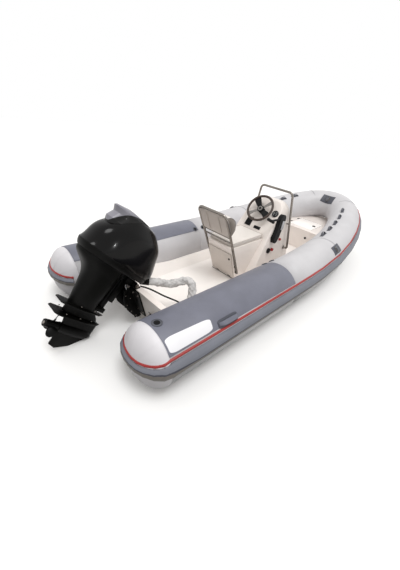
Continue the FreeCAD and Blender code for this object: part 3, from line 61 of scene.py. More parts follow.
# The way up along the raked backrest, and the way out of its front
REST_UP, REST_FRONT = Vector((-0.4286, 0, 0.9035)), Vector((0.9035, 0, 0.4286))


class Side(Enum):
    """The boat's two sides, with the sign of Y on each."""

    PORT = 1
    STARBOARD = -1


SIDES = tuple((side.name.lower(), side.value) for side in Side)


# Colours and node helper
def paint(code: str) -> tuple[float, float, float, float]:
    """Turn an sRGB hex colour to linear.

    Args:
        code: Six hex digits, with or without a leading hash.

    Returns:
        Linear red, green, blue and an alpha of 1.
    """
    channels = [int(code.lstrip("#")[i:i + 2], 16) / 255 for i in (0, 2, 4)]
    linear = [c / 12.92 if c <= 0.04045 else ((c + 0.055) / 1.055) ** 2.4 for c in channels]
    return (*linear, 1.0)


def add_node(tree: bpy.types.NodeTree, kind: str, settings: Optional[dict] = None,
             links: Optional[dict] = None) -> bpy.types.Node:
    """Add a node with its settings and links.

    Args:
        tree: The node tree.
        kind: The node's type, without the ShaderNode part.
        settings: Properties by name, and socket values by index or socket name.
        links: Source sockets by input index or name.

    Returns:
        The new node.
    """
    node = tree.nodes.new("ShaderNode" + kind)
    for key, value in (settings or {}).items():
        if isinstance(key, str) and hasattr(node, key):
            setattr(node, key, value)
        else:
            node.inputs[key].default_value = value
    for key, socket in (links or {}).items():
        tree.links.new(socket, node.inputs[key])
    return node


# A pattern's height socket and its depth in metres, or None where a finish has no relief
Relief = Optional[tuple[bpy.types.NodeSocket, float]]


@dataclass(frozen=True)
class Finish:
    """A surface finish: the base that every material shares.

    Its pattern is a soft mottling of the colour, as dust, sun and handling give any surface.
    """

    name: str
    colour: str
    roughness: float = 0.5
    metallic: float = 0.0
    ior: float = 1.5
    coat: float = 0.0
    coat_roughness: float = 0.05
    sheen: float = 0.0
    mottle: float = 0.05
    mottle_size: float = 180 * MM
    grain: float = 0.0
    grain_size: float = 1.2 * MM

    def build(self) -> bpy.types.Material:
        """Make the material, or return the one made before.

        Returns:
            The material.
        """
        if self.name in bpy.data.materials:
            return bpy.data.materials[self.name]
        material = bpy.data.materials.new(self.name)
        material.use_nodes = True
        tree = material.node_tree
        shader = tree.nodes["Principled BSDF"]
        shader.inputs["Metallic"].default_value = self.metallic
        if not self.metallic:
            shader.inputs["IOR"].default_value = self.ior
        shader.inputs["Coat Weight"].default_value = self.coat
        shader.inputs["Coat Roughness"].default_value = self.coat_roughness
        shader.inputs["Sheen Weight"].default_value = self.sheen
        where = add_node(tree, "TexCoord").outputs["Object"]
        self.tint(tree, shader, where)
        relief = self.relief(tree, shader, where)
        if relief:
            bump = add_node(tree, "Bump", {"Strength": 0.6, "Distance": relief[1]},
                            {"Height": relief[0]})
            tree.links.new(bump.outputs["Normal"], shader.inputs["Normal"])
        return material

    def tint(self, tree: bpy.types.NodeTree, shader: bpy.types.Node,
             where: bpy.types.NodeSocket) -> None:
        """Colour and roughness, both with the soft mottling.

        Args:
            tree: The material's node tree.
            shader: Its Principled BSDF.
            where: The pattern's coordinates.
        """
        cloud = add_node(tree, "TexNoise", {"Scale": 1 / self.mottle_size, "Detail": 4.0},
                         {"Vector": where})
        low, high = [c * (1 - self.mottle) for c in paint(self.colour)[:3]], paint(self.colour)
        ramp = add_node(tree, "ValToRGB", {}, {0: cloud.outputs["Fac"]})
        ramp.color_ramp.elements[0].position, ramp.color_ramp.elements[1].position = 0.35, 0.6
        ramp.color_ramp.elements[0].color = (*low, 1)
        ramp.color_ramp.elements[1].color = high
        tree.links.new(ramp.outputs["Color"], shader.inputs["Base Color"])
        spread = add_node(tree, "MapRange", {3: self.roughness * 0.88,
                                             4: min(self.roughness * 1.12, 1)},
                          {0: cloud.outputs["Fac"]})
        tree.links.new(spread.outputs[0], shader.inputs["Roughness"])

    def relief(self, tree: bpy.types.NodeTree, shader: bpy.types.Node,
               where: bpy.types.NodeSocket) -> Relief:
        """Fine moulded grain.

        Args:
            tree: The material's node tree.
            shader: Its Principled BSDF.
            where: The pattern's coordinates.

        Returns:
            The pattern's height and its depth, or None without grain.
        """
        if not self.grain:
            return None
        grain = add_node(tree, "TexNoise", {"Scale": 1 / self.grain_size, "Detail": 2.0},
                         {"Vector": where})
        return grain.outputs["Fac"], self.grain


@dataclass(frozen=True)
class CoatedFabric(Finish):
    """PVC coated on woven polyester: the thread grid shows faintly through the satin skin."""

    thread: float = 3.0 * MM
    weave: float = 0.12 * MM

    def relief(self, tree: bpy.types.NodeTree, shader: bpy.types.Node,
               where: bpy.types.NodeSocket) -> Relief:
        """Two crossed thread waves, broken up by a slow pucker of the skin.

        Args:
            tree: The material's node tree.
            shader: Its Principled BSDF.
            where: The pattern's coordinates.

        Returns:
            The pattern's height and its depth.
        """
        waves = []
        for axis in ("X", "DIAGONAL"):
            wave = add_node(tree, "TexWave", {"bands_direction": axis, "Scale": 0.314 / self.thread,
                                              "Distortion": 0.4}, {"Vector": where})
            waves.append(wave.outputs["Fac"])
        grid = add_node(tree, "Math", {"operation": "MAXIMUM"}, {0: waves[0], 1: waves[1]})
        pucker = add_node(tree, "TexNoise", {"Scale": 9.0, "Detail": 1.0}, {"Vector": where})
        swell = add_node(tree, "Math", {"operation": "MULTIPLY_ADD", 1: 10.0},
                         {0: pucker.outputs["Fac"], 2: grid.outputs[0]})
        return swell.outputs[0], self.weave


@dataclass(frozen=True)
class Webbing(Finish):
    """Woven polyester strap: ribs across the strap and a dull, slightly furry face."""

    rib: float = 2.4 * MM

    def relief(self, tree: bpy.types.NodeTree, shader: bpy.types.Node,
               where: bpy.types.NodeSocket) -> Relief:
        """Close ribs along the boat's length.

        Args:
            tree: The material's node tree.
            shader: Its Principled BSDF.
            where: The pattern's coordinates.

        Returns:
            The pattern's height and its depth.
        """
        wave = add_node(tree, "TexWave", {"bands_direction": "X", "Scale": 0.314 / self.rib,
                                          "Distortion": 0.8}, {"Vector": where})
        return wave.outputs["Fac"], 0.4 * MM


@dataclass(frozen=True)
class MouldedRubber(Finish):
    """Extruded rubber: fine ribs one above the other, and a dull bloom between them."""

    rib: float = 14 * MM

    def relief(self, tree: bpy.types.NodeTree, shader: bpy.types.Node,
               where: bpy.types.NodeSocket) -> Relief:
        """Ribs that follow the level, with a little grit.

        Args:
            tree: The material's node tree.
            shader: Its Principled BSDF.
            where: The pattern's coordinates.

        Returns:
            The pattern's height and its depth.
        """
        wave = add_node(tree, "TexWave", {"bands_direction": "Z", "Scale": 0.314 / self.rib,
                                          "Distortion": 0.1}, {"Vector": where})
        grit = add_node(tree, "TexNoise", {"Scale": 260.0, "Detail": 2.0}, {"Vector": where})
        both = add_node(tree, "Math", {"operation": "MULTIPLY_ADD", 1: 0.35},
                        {0: grit.outputs["Fac"], 2: wave.outputs["Fac"]})
        return both.outputs[0], 0.5 * MM


@dataclass(frozen=True)
class Gelcoat(Finish):
    """Polished gelcoat on glass fibre: deep gloss with a faint orange peel and print-through."""

    peel: float = 22 * MM

    def relief(self, tree: bpy.types.NodeTree, shader: bpy.types.Node,
               where: bpy.types.NodeSocket) -> Relief:
        """A slow ripple, as the glass mat prints through.

        Args:
            tree: The material's node tree.
            shader: Its Principled BSDF.
            where: The pattern's coordinates.

        Returns:
            The pattern's height and its depth.
        """
        ripple = add_node(tree, "TexNoise", {"Scale": 1 / self.peel, "Detail": 3.0},
                          {"Vector": where})
        return ripple.outputs["Fac"], 0.25 * MM


@dataclass(frozen=True)
class NonSkid(Gelcoat):
    """Moulded non-skid deck: small raised diamonds that break up the gloss."""

    diamond: float = 16 * MM

    def relief(self, tree: bpy.types.NodeTree, shader: bpy.types.Node,
               where: bpy.types.NodeSocket) -> Relief:
        """Diamonds on faces that look up, and plain gelcoat on the sides.

        Args:
            tree: The material's node tree.
            shader: Its Principled BSDF.
            where: The pattern's coordinates.

        Returns:
            The pattern's height and its depth.
        """
        turned = add_node(tree, "Mapping", {"Rotation": (0, 0, math.radians(45))},
                          {"Vector": where})
        cells = add_node(tree, "TexVoronoi", {"Scale": 1 / self.diamond, "Randomness": 0.0,
                                              "distance": "CHEBYCHEV"},
                         {"Vector": turned.outputs[0]})
        flat = add_node(tree, "MapRange", {1: 0.18, 2: 0.42, 3: 1.0, 4: 0.0},
                        {0: cells.outputs["Distance"]})
        facing = add_node(tree, "SeparateXYZ", {},
                          {0: add_node(tree, "NewGeometry").outputs["Normal"]})
        level = add_node(tree, "Math", {"operation": "GREATER_THAN", 1: 0.9},
                         {0: facing.outputs["Z"]})
        shown = add_node(tree, "Math", {"operation": "MULTIPLY"},
                         {0: flat.outputs[0], 1: level.outputs[0]})
        return shown.outputs[0], 0.6 * MM


@dataclass(frozen=True)
class Vinyl(Finish):
    """Marine upholstery vinyl: an embossed leather grain with soft pinched creases."""

    pebble: float = 3.4 * MM

    def relief(self, tree: bpy.types.NodeTree, shader: bpy.types.Node,
               where: bpy.types.NodeSocket) -> Relief:
        """Leather pebbles over a slow crease.

        Args:
            tree: The material's node tree.
            shader: Its Principled BSDF.
            where: The pattern's coordinates.

        Returns:
            The pattern's height and its depth.
        """
        pebbles = add_node(tree, "TexVoronoi",
                           {"Scale": 1 / self.pebble, "feature": "DISTANCE_TO_EDGE"},
                           {"Vector": where})
        crease = add_node(tree, "TexNoise", {"Scale": 16.0, "Detail": 3.0}, {"Vector": where})
        both = add_node(tree, "Math", {"operation": "MULTIPLY_ADD", 1: 4.0},
                        {0: crease.outputs["Fac"], 2: pebbles.outputs["Distance"]})
        return both.outputs[0], 0.5 * MM


@dataclass(frozen=True)
class BrushedSteel(Finish):
    """Stainless tube, polished by belt: streaks round the tube and soft dark reflections."""

    streak: float = 1.6 * MM

    def relief(self, tree: bpy.types.NodeTree, shader: bpy.types.Node,
               where: bpy.types.NodeSocket) -> Relief:
        """Streaks that change the gloss rather than the colour.

        Args:
            tree: The material's node tree.
            shader: Its Principled BSDF.
            where: The pattern's coordinates.

        Returns:
            None, because the streaks raise nothing.
        """
        fine = add_node(tree, "Mapping", {"Scale": (1.0, 0.12, 1.0)}, {"Vector": where})
        streaks = add_node(tree, "TexNoise", {"Scale": 1 / self.streak, "Detail": 2.0},
                           {"Vector": fine.outputs[0]})
        gloss = add_node(tree, "MapRange", {3: self.roughness * 0.7, 4: self.roughness * 1.5},
                         {0: streaks.outputs["Fac"]})
        tree.links.new(gloss.outputs[0], shader.inputs["Roughness"])
        return None


@dataclass(frozen=True)
class CreasedCanvas(Finish):
    """Coated canvas sleeve gathered over hoses: short folds across it and a soft sheen."""

    fold: float = 30 * MM

    def relief(self, tree: bpy.types.NodeTree, shader: bpy.types.Node,
               where: bpy.types.NodeSocket) -> Relief:
        """Crumpled creases of two sizes.

        Args:
            tree: The material's node tree.
            shader: Its Principled BSDF.
            where: The pattern's coordinates.

        Returns:
            The pattern's height and its depth.
        """
        big = add_node(tree, "TexNoise", {"Scale": 1 / self.fold, "Detail": 2.0,
                                          "Distortion": 1.2}, {"Vector": where})
        small = add_node(tree, "TexNoise", {"Scale": 3.2 / self.fold, "Detail": 3.0,
                                            "Distortion": 0.6}, {"Vector": where})
        ridge = add_node(tree, "Math", {"operation": "MULTIPLY_ADD", 1: 0.4},
                         {0: small.outputs["Fac"], 2: big.outputs["Fac"]})
        return ridge.outputs[0], 7 * MM


@dataclass(frozen=True)
class StrakeRubberPaintedShade(MouldedRubber):
    """Strake rubber with painted shade where it faces down: a dark line and the darker underside.
    """

    # Dark painted shade line along the strake's lower edge, and darker painted shade of the
    # underside below it
    shade_line: str = "#34353F"
    base: str = "#6A655F"

    def tint(self, tree: bpy.types.NodeTree, shader: bpy.types.Node,
             where: bpy.types.NodeSocket) -> None:
        """Rubber, with painted shade told by how far the bulging face looks down.

        Args:
            tree: The material's node tree.
            shader: Its Principled BSDF.
            where: The pattern's coordinates.
        """
        super().tint(tree, shader, where)
        facing = add_node(tree, "SeparateXYZ", {},
                          {0: add_node(tree, "TexCoord").outputs["Normal"]})
        place = add_node(tree, "SeparateXYZ", {}, {0: where})
        low = add_node(tree, "MapRange", {1: -0.33, 2: 0.0, 3: -0.40, 4: -0.06},
                       {0: place.outputs["X"]})
        down = add_node(tree, "Math", {"operation": "ADD"},
                        {0: facing.outputs["Z"], 1: low.outputs[0]})
        ground = shader.inputs["Base Color"].links[0].from_socket
        # Painted shade: the dark line, then the underside, by how far the face looks down
        for colour, start, end in ((self.shade_line, 0.05, 0.03), (self.base, -0.12, -0.15)):
            share = add_node(tree, "MapRange", {1: start, 2: end}, {0: down.outputs[0]})
            mixed = add_node(tree, "Mix", {"data_type": "RGBA", 7: paint(colour)},
                             {0: share.outputs[0], 6: ground})
            ground = mixed.outputs[2]
        tree.links.new(ground, shader.inputs["Base Color"])


@dataclass(frozen=True)
class TwoToneLacquer(Finish):
    """Engine lacquer in two colours, parted by a moulded line that climbs to the front."""

    dark: str = "#070606"

    def tint(self, tree: bpy.types.NodeTree, shader: bpy.types.Node,
             where: bpy.types.NodeSocket) -> None:
        """Grey above the line and black below it, measured on the upright motor.

        Args:
            tree: The material's node tree.
            shader: Its Principled BSDF.
            where: The pattern's coordinates.
        """
        super().tint(tree, shader, where)
        upright = add_node(tree, "Mapping", {"vector_type": "TEXTURE",
                                             "Location": (40 * MM, 0, 450 * MM),
                                             "Rotation": (0, math.radians(45), 0)},
                           {"Vector": where})
        parts = add_node(tree, "SeparateXYZ", {}, {0: upright.outputs[0]})
        back = add_node(tree, "MapRange", {1: -260 * MM, 2: -575 * MM}, {0: parts.outputs["X"]})
        climb = add_node(tree, "Math", {"operation": "POWER", 1: 2.6}, {0: back.outputs[0]})
        across = add_node(tree, "Math", {"operation": "MULTIPLY"},
                          {0: parts.outputs["Y"], 1: parts.outputs["Y"]})
        fall = add_node(tree, "Math", {"operation": "MULTIPLY_ADD", 1: -9.9, 2: 190 * MM},
                        {0: across.outputs[0]})
        line = add_node(tree, "Math", {"operation": "MULTIPLY_ADD"},
                        {0: climb.outputs[0], 1: fall.outputs[0], 2: parts.outputs["Z"]})
        above = add_node(tree, "MapRange", {1: 484 * MM, 2: 487 * MM}, {0: line.outputs[0]})
        grey = shader.inputs["Base Color"].links[0].from_socket
        mixed = add_node(tree, "Mix", {"data_type": "RGBA", 6: paint(self.dark)},
                         {0: above.outputs[0], 7: grey})
        tree.links.new(mixed.outputs[2], shader.inputs["Base Color"])


# Finishes, named for the real materials
TUBE_FABRIC = CoatedFabric("tube_fabric_pvc", "#C8C7CA", 0.45, sheen=0.05, mottle=0.06)
CONE_FABRIC = CoatedFabric("cone_fabric_pvc", "#DAD8DC", 0.45, sheen=0.05, mottle=0.04)
GREY_FABRIC = CoatedFabric("grey_fabric_pvc", "#70727F", 0.48, sheen=0.05, mottle=0.12)
SEAM_FABRIC = CoatedFabric("seam_tape_pvc", "#A9A8AC", 0.45, mottle=0.05)
# Strake rubber with painted shade on its faces that look down
STRAKE_RUBBER_SHADED = StrakeRubberPaintedShade("strake_rubber_epdm", "#777A84", 0.5, mottle=0.12)
GRIP_RUBBER = MouldedRubber("handle_grip_rubber", "#70727F", 0.5, mottle=0.12, rib=7 * MM)
# The handle foot's dark tone is painted shade under and round the raised grip
HANDLE_FOOT_PAINTED_SHADE = MouldedRubber("handle_foot_rubber", "#454751", 0.55, mottle=0.12, rib=7 * MM)
FITTING_RUBBER = MouldedRubber("fitting_rubber_moulded", "#4D4F58", 0.5, mottle=0.12, rib=7 * MM)
STRIPE_RUBBER = MouldedRubber("stripe_rubber_red", "#A02826", 0.42, mottle=0.12, rib=9 * MM)
WEBBING = Webbing("webbing_polyester", "#62646C", 0.85, sheen=0.3, mottle=0.15, mottle_size=30 * MM)
STEEL = BrushedSteel("stainless_steel_polished", "#8C8680", 0.22, metallic=1.0, mottle=0.12)
VALVE_PLASTIC = Finish("valve_nylon_moulded", "#54565E", 0.5, mottle=0.15, grain=0.15 * MM)
GELCOAT = Gelcoat("gelcoat_polished", "#EFE7E1", 0.3, coat=0.2, mottle=0.03, mottle_size=400 * MM)
DECK = NonSkid("gelcoat_non_skid", "#FAF5F1", 0.45, coat=0.1, mottle=0.04, mottle_size=300 * MM)
BEIGE_PANEL = Finish("abs_panel_moulded", "#CFC6BE", 0.45, mottle=0.05, grain=0.2 * MM)
CREAM_VINYL = Vinyl("marine_vinyl_cream", "#E0DAD4", 0.42, sheen=0.15, mottle=0.04)
BOLSTER_VINYL = Vinyl("marine_vinyl_sides", "#8A8178", 0.55, sheen=0.15, mottle=0.07)
SEAT_PIPING = Vinyl("piping_vinyl_cream", "#BDB5AD", 0.5, mottle=0.05)
PIPING = Vinyl("piping_vinyl", "#57504B", 0.5, mottle=0.05)
BLACK_PLASTIC = Finish("abs_black_moulded", "#0C0C0E", 0.5, ior=1.3, mottle=0.2, grain=0.2 * MM)
DIAL_GLASS = Finish("dial_face_glass", "#1E2126", 0.12, coat=1.0, mottle=0.1)
DIAL_MARK = Finish("dial_marks_printed", "#D8D8D2", 0.5, mottle=0.02)
RIM_GRIP = Vinyl("rim_grip_brown_leather", "#43352D", 0.45, mottle=0.25, mottle_size=30 * MM)
WHEEL_METAL = BrushedSteel("wheel_spoke_alloy", "#8A8682", 0.3, metallic=1.0, mottle=0.1)
SILVER_PLASTIC = Finish("abs_silver_painted", "#B6B6BA", 0.35, coat=0.3, mottle=0.08)
RED_PLASTIC = Finish("abs_red_moulded", "#A01C20", 0.35, coat=0.3, mottle=0.15)
ENGINE_BLACK = Finish("engine_lacquer_black", "#070606", 0.18, ior=1.22, coat=0.12,
                      coat_roughness=0.03, mottle=0.3, grain=0.05 * MM, grain_size=9 * MM)
ENGINE_SATIN = Finish("engine_casting_black", "#070706", 0.4, ior=1.2, mottle=0.35,
                      grain=0.25 * MM, grain_size=3 * MM)
CAP_GREY = TwoToneLacquer("engine_cap_lacquer_grey", "#8C8B94", 0.3, ior=1.3, coat=0.12,
                          mottle=0.12)
HYDRAULIC = BrushedSteel("ram_rod_chromed", "#9C9C9E", 0.16, metallic=1.0, mottle=0.1)
BOOT_CANVAS = CreasedCanvas("rigging_sleeve_canvas", "#D0CECD", 0.62, sheen=0.2, mottle=0.28,
                            mottle_size=45 * MM)
CABLE_RUBBER = Finish("cable_rubber_black", "#0C0C0E", 0.6, ior=1.3, mottle=0.2, grain=0.1 * MM)
PATCH_WHITE = CoatedFabric("name_patch_blank", "#EEEEF2", 0.4, mottle=0.02)
# Dark rubber of the lid seal, also used for the painted shadow bead at the seat box's foot
GASKET_AND_SHADE_BEAD = Finish("gasket_rubber_dark", "#3B3A3C", 0.7, mottle=0.2)


# Shared modelling helpers
def deselect() -> None:
    """Leave edit mode and deselect everything."""
    if bpy.context.object and bpy.context.object.mode != "OBJECT":
        bpy.ops.object.mode_set(mode="OBJECT")
    bpy.ops.object.select_all(action="DESELECT")


def activate(piece: bpy.types.Object) -> None:
    """Make this piece the only one selected and the active one.

    Args:
        piece: The object.
    """
    deselect()
    piece.select_set(True)
    bpy.context.view_layer.objects.active = piece


def settle(piece: bpy.types.Object) -> bpy.types.Object:
    """Apply a piece's place, turn and size to its mesh.

    Args:
        piece: The object.

    Returns:
        The same object, at the origin.
    """
    activate(piece)
    bpy.ops.object.transform_apply(location=True, rotation=True, scale=True)
    return piece


def modify(piece: bpy.types.Object, kind: str, **settings: object) -> bpy.types.Object:
    """Add a modifier with its settings and apply it.

    Args:
        piece: The object.
        kind: The modifier's type.
        settings: Its properties by name.

    Returns:
        The same object.
    """
    activate(piece)
    modifier = piece.modifiers.new(kind.title(), kind)
    for key, value in settings.items():
        setattr(modifier, key, value)
    bpy.ops.object.modifier_apply(modifier=modifier.name)
    return piece


def soften(piece: bpy.types.Object, width: float, segments: int = 2,
           angle: float = 35) -> bpy.types.Object:
    """Round a piece's hard edges and shade it smooth between them.

    Args:
        piece: The object.
        width: Width of the rounding, or 0 for none.
        segments: Steps of the rounding.
        angle: Degrees from which an edge counts as hard.

    Returns:
        The same object.
    """
    if width:
        modify(piece, "BEVEL", width=width, segments=segments, limit_method="ANGLE",
               angle_limit=math.radians(angle), use_clamp_overlap=True)
    activate(piece)
    bpy.ops.object.shade_smooth_by_angle(angle=math.radians(angle))
    return piece


def dress(piece: bpy.types.Object, finish: Finish, body: str) -> bpy.types.Object:
    """Give a piece its finish and its body.

    Args:
        piece: The finished object.
        finish: Its finish.
        body: The CAD body that it rides on.

    Returns:
        The same object.
    """
    piece.data.materials.clear()
    piece.data.materials.append(finish.build())
    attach(piece, body)
    log.info("piece %s rides on %s", piece.name, body)
    return piece


def gather(name: str, pieces: Sequence[bpy.types.Object]) -> bpy.types.Object:
    """Join several pieces into one object with this name.

    Args:
        name: The joined object's name.
        pieces: The objects, of which the first stays.

    Returns:
        The joined object, at the origin.
    """
    deselect()
    for piece in pieces:
        piece.select_set(True)
    bpy.context.view_layer.objects.active = pieces[0]
    if len(pieces) > 1:
        bpy.ops.object.join()
    joined = bpy.context.view_layer.objects.active
    joined.name = name
    return settle(joined)


def sheet_from(name: str, across: int, along: int,
               shape: Callable[[float, float], Vector]) -> bpy.types.Object:
    """A grid laid out by a shape function.

    Args:
        name: The object's name.
        across: Cells in the first direction.
        along: Cells in the second direction.
        shape: Gives the place of each pair of shares from 0 to 1.

    Returns:
        The new object, at the origin.
    """
    deselect()
    bpy.ops.mesh.primitive_grid_add(x_subdivisions=across, y_subdivisions=along, size=1)
    piece = bpy.context.object
    piece.name = name
    for vertex in piece.data.vertices:
        vertex.co = shape(vertex.co.x + 0.5, vertex.co.y + 0.5)
    return piece


def disc(place: Vector, way: Vector, radius: float, depth: float,
         sides: int = 32) -> bpy.types.Object:
    """A round blank that stands on a place and points along a way.

    Args:
        place: The middle of its foot.
        way: The way it points.
        radius: Its radius.
        depth: Its height.
        sides: Its number of sides.

    Returns:
        The new object, at the origin.
    """
    deselect()
    turn = UP.rotation_difference(way.normalized())
    bpy.ops.mesh.primitive_cylinder_add(vertices=sides, radius=radius, depth=depth,
                                        location=place + way.normalized() * depth / 2,
                                        rotation=turn.to_euler())
    return settle(bpy.context.object)


def face_towards(piece: bpy.types.Object, way: Vector, limit: float = 0.95) -> None:
    """Enter edit mode with only the faces that look this way selected.

    Args:
        piece: The object.
        way: The way that the faces look.
        limit: Least cosine between a face's normal and that way.
    """
    activate(piece)
    way = way.normalized()
    for item in (*piece.data.vertices, *piece.data.edges):
        item.select = False
    for face in piece.data.polygons:
        face.select = face.normal.dot(way) > limit
    bpy.ops.object.mode_set(mode="EDIT")
    bpy.ops.mesh.select_mode(type="FACE")


def stepped_disc(place: Vector, way: Vector, radius: float, steps: Iterable[tuple[float, float]],
                 depth: float, sides: int = 32) -> bpy.types.Object:
    """A round piece whose top is inset and raised or sunk step by step.

    Args:
        place: The middle of its foot.
        way: The way it points.
        radius: Its radius.
        steps: Pairs of inset and rise, in metres.
        depth: Its height before the steps.
        sides: Its number of sides.

    Returns:
        The new object.
    """
    piece = disc(place, way, radius, depth, sides)
    for inset, rise in steps:
        face_towards(piece, way)
        bpy.ops.mesh.inset(thickness=inset, use_even_offset=True)
        bpy.ops.transform.translate(value=way.normalized() * rise)
        bpy.ops.object.mode_set(mode="OBJECT")
    return piece


def plate(middle: Vector, along: Vector, across: Vector, sizes: Sequence[float],
          inset: float = 0.0, rise: float = 0.0) -> bpy.types.Object:
    """A rectangular blank with its foot on a surface, with a sunk or raised field.

    Args:
        middle: The middle of its foot.
        along: Direction of its first size.
        across: Direction of its second size.
        sizes: Length, width and thickness.
        inset: Width of the rim round its field, or 0 for none.
        rise: How far the field stands out, or is sunk when negative.

    Returns:
        The new object.
    """
    deselect()
    bpy.ops.mesh.primitive_cube_add(size=1)
    piece = bpy.context.object
    along, across = along.normalized(), across.normalized()
    out = along.cross(across)
    for vertex in piece.data.vertices:
        x, y, z = vertex.co
        vertex.co = (middle + along * (x * sizes[0]) + across * (y * sizes[1])
                     + out * ((z + 0.5) * sizes[2]))
    if inset:
        face_towards(piece, out)
        bpy.ops.mesh.inset(thickness=inset, use_even_offset=True)
        bpy.ops.transform.translate(value=out * rise)
        bpy.ops.object.mode_set(mode="OBJECT")
    return piece


def rod(points: Sequence[Vector], radius: float, name: str, sides: int = 4) -> bpy.types.Object:
    """A round bar or bead along points, as a mesh.

    Args:
        points: Its line, in metres.
        radius: Its radius.
        name: The object's name.
        sides: Resolution of its section.

    Returns:
        The new mesh object.
    """
    curve = bpy.data.curves.new(name, "CURVE")
    curve.dimensions = "3D"
    spline = curve.splines.new("POLY")
    spline.points.add(len(points) - 1)
    for point, place in zip(spline.points, points):
        point.co = (*place, 1)
    curve.bevel_depth, curve.bevel_resolution, curve.use_fill_caps = radius, sides, True
    holder = bpy.data.objects.new(name, curve)
    bpy.context.collection.objects.link(holder)
    activate(holder)
    bpy.ops.object.convert(target="MESH")
    piece = bpy.context.object
    bpy.ops.object.shade_smooth()
    return piece


BODY_OF = {node: body for body, nodes in frame["record"]["behaviour"]["bodies"].items()
           for node in nodes}


def copied(node: str, name: str, flat: bool = False) -> bpy.types.Object:
    """A merged copy of a CAD node.

    Args:
        node: The node.
        name: The copy's name.
        flat: True to dissolve the triangles of its flat faces.

    Returns:
        The copy, at the origin.
    """
    source = frame["nodes"][node]
    copy = bpy.data.objects.new(name, source.data.copy())
    bpy.context.collection.objects.link(copy)
    activate(copy)
    bpy.ops.object.mode_set(mode="EDIT")
    bpy.ops.mesh.select_all(action="SELECT")
    bpy.ops.mesh.remove_doubles(threshold=0.00002)
    if flat:
        bpy.ops.mesh.dissolve_limited(angle_limit=math.radians(0.6))
    bpy.ops.object.mode_set(mode="OBJECT")
    return copy


def refinish(node: str, finish: Finish, bevel: float = 0.0, angle: float = 35,
             flat: bool = False, segments: int = 2) -> bpy.types.Object:
    """Replace a CAD node with a smooth-shaded copy whose hard edges are rounded.

    Args:
        node: The CAD node.
        finish: Its finish.
        bevel: Width of its rounded edges.
        angle: Degrees from which an edge counts as hard.
        flat: True to dissolve the triangles of its flat faces.
        segments: Steps of the rounding.

    Returns:
        The new piece.
    """
    piece = copied(node, node + "_finished", flat)
    soften(piece, bevel, segments, angle)
    dress(piece, finish, BODY_OF[node])
    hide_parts(node)
    return piece


# Air tubes
@dataclass
class TubePath:
    """The air tubes' path: straight side tubes and a bow that tapers and rises to the nose."""

    radius: float = 265 * MM
    spread: float = 726 * MM
    height: float = 275 * MM
    stern: float = -235 * MM
    panel_front: float = 1420 * MM
    bow_start: float = 2036 * MM
    nose: float = 4156 * MM
    nose_radius: float = 226 * MM
    rise: float = 338 * MM
    roundness: float = 2.08
    taper: float = 1.5

    def centre(self, step: float) -> Vector:
        """Centre of the port tube; below 0 it runs aft along the straight.

        Args:
            step: How far along the path: 0 where the bow starts, 1 at the nose.

        Returns:
            The centre.
        """
        if step < 0:
            x, y = self.bow_start + step * (self.bow_start - self.panel_front), self.spread
        else:
            turn, power = step * math.pi / 2, 2 / self.roundness
            x = self.bow_start + (self.nose - self.bow_start) * math.sin(turn) ** power
            y = self.spread * max(math.cos(turn), 0) ** power if step < 1 else 0.0
        share = max((x - self.panel_front) / (self.nose - self.panel_front), 0)
        return Vector((x, y, self.height + self.rise * share ** 2))

    def girth(self, x: float) -> float:
        """Radius of the tube at a station."""
        share = max(0.0, (x - self.bow_start) / (self.nose - self.bow_start))
        return self.radius - (self.radius - self.nose_radius) * share ** self.taper

    def spot(self, step: float, angle: float, lift: float = 0.0,
             side: int = 1) -> tuple[Vector, Vector, Vector]:
        """A place on the tube's skin.

        Args:
            step: How far along the path.
            angle: Degrees above the outboard side.
            lift: Distance off the skin.
            side: 1 for port, -1 for starboard.

        Returns:
            The place, the way off the skin, and the way along the tube.
        """
        ahead = self.centre(min(step + 0.002, 1)) - self.centre(step - 0.002)
        if step >= 1:
            ahead = Vector((0, -1, 0))
        ahead.normalize()
        out = -ahead.cross(UP).normalized()
        middle = self.centre(step)
        turn = math.radians(angle)
        away = out * math.cos(turn) + ahead.cross(out) * math.sin(turn)
        place = middle + away * (self.girth(middle.x) + lift)
        if side < 0:
            place, away, ahead = (Vector((v.x, -v.y, v.z)) for v in (place, away, ahead))
        return place, away, ahead


PATH = TubePath()


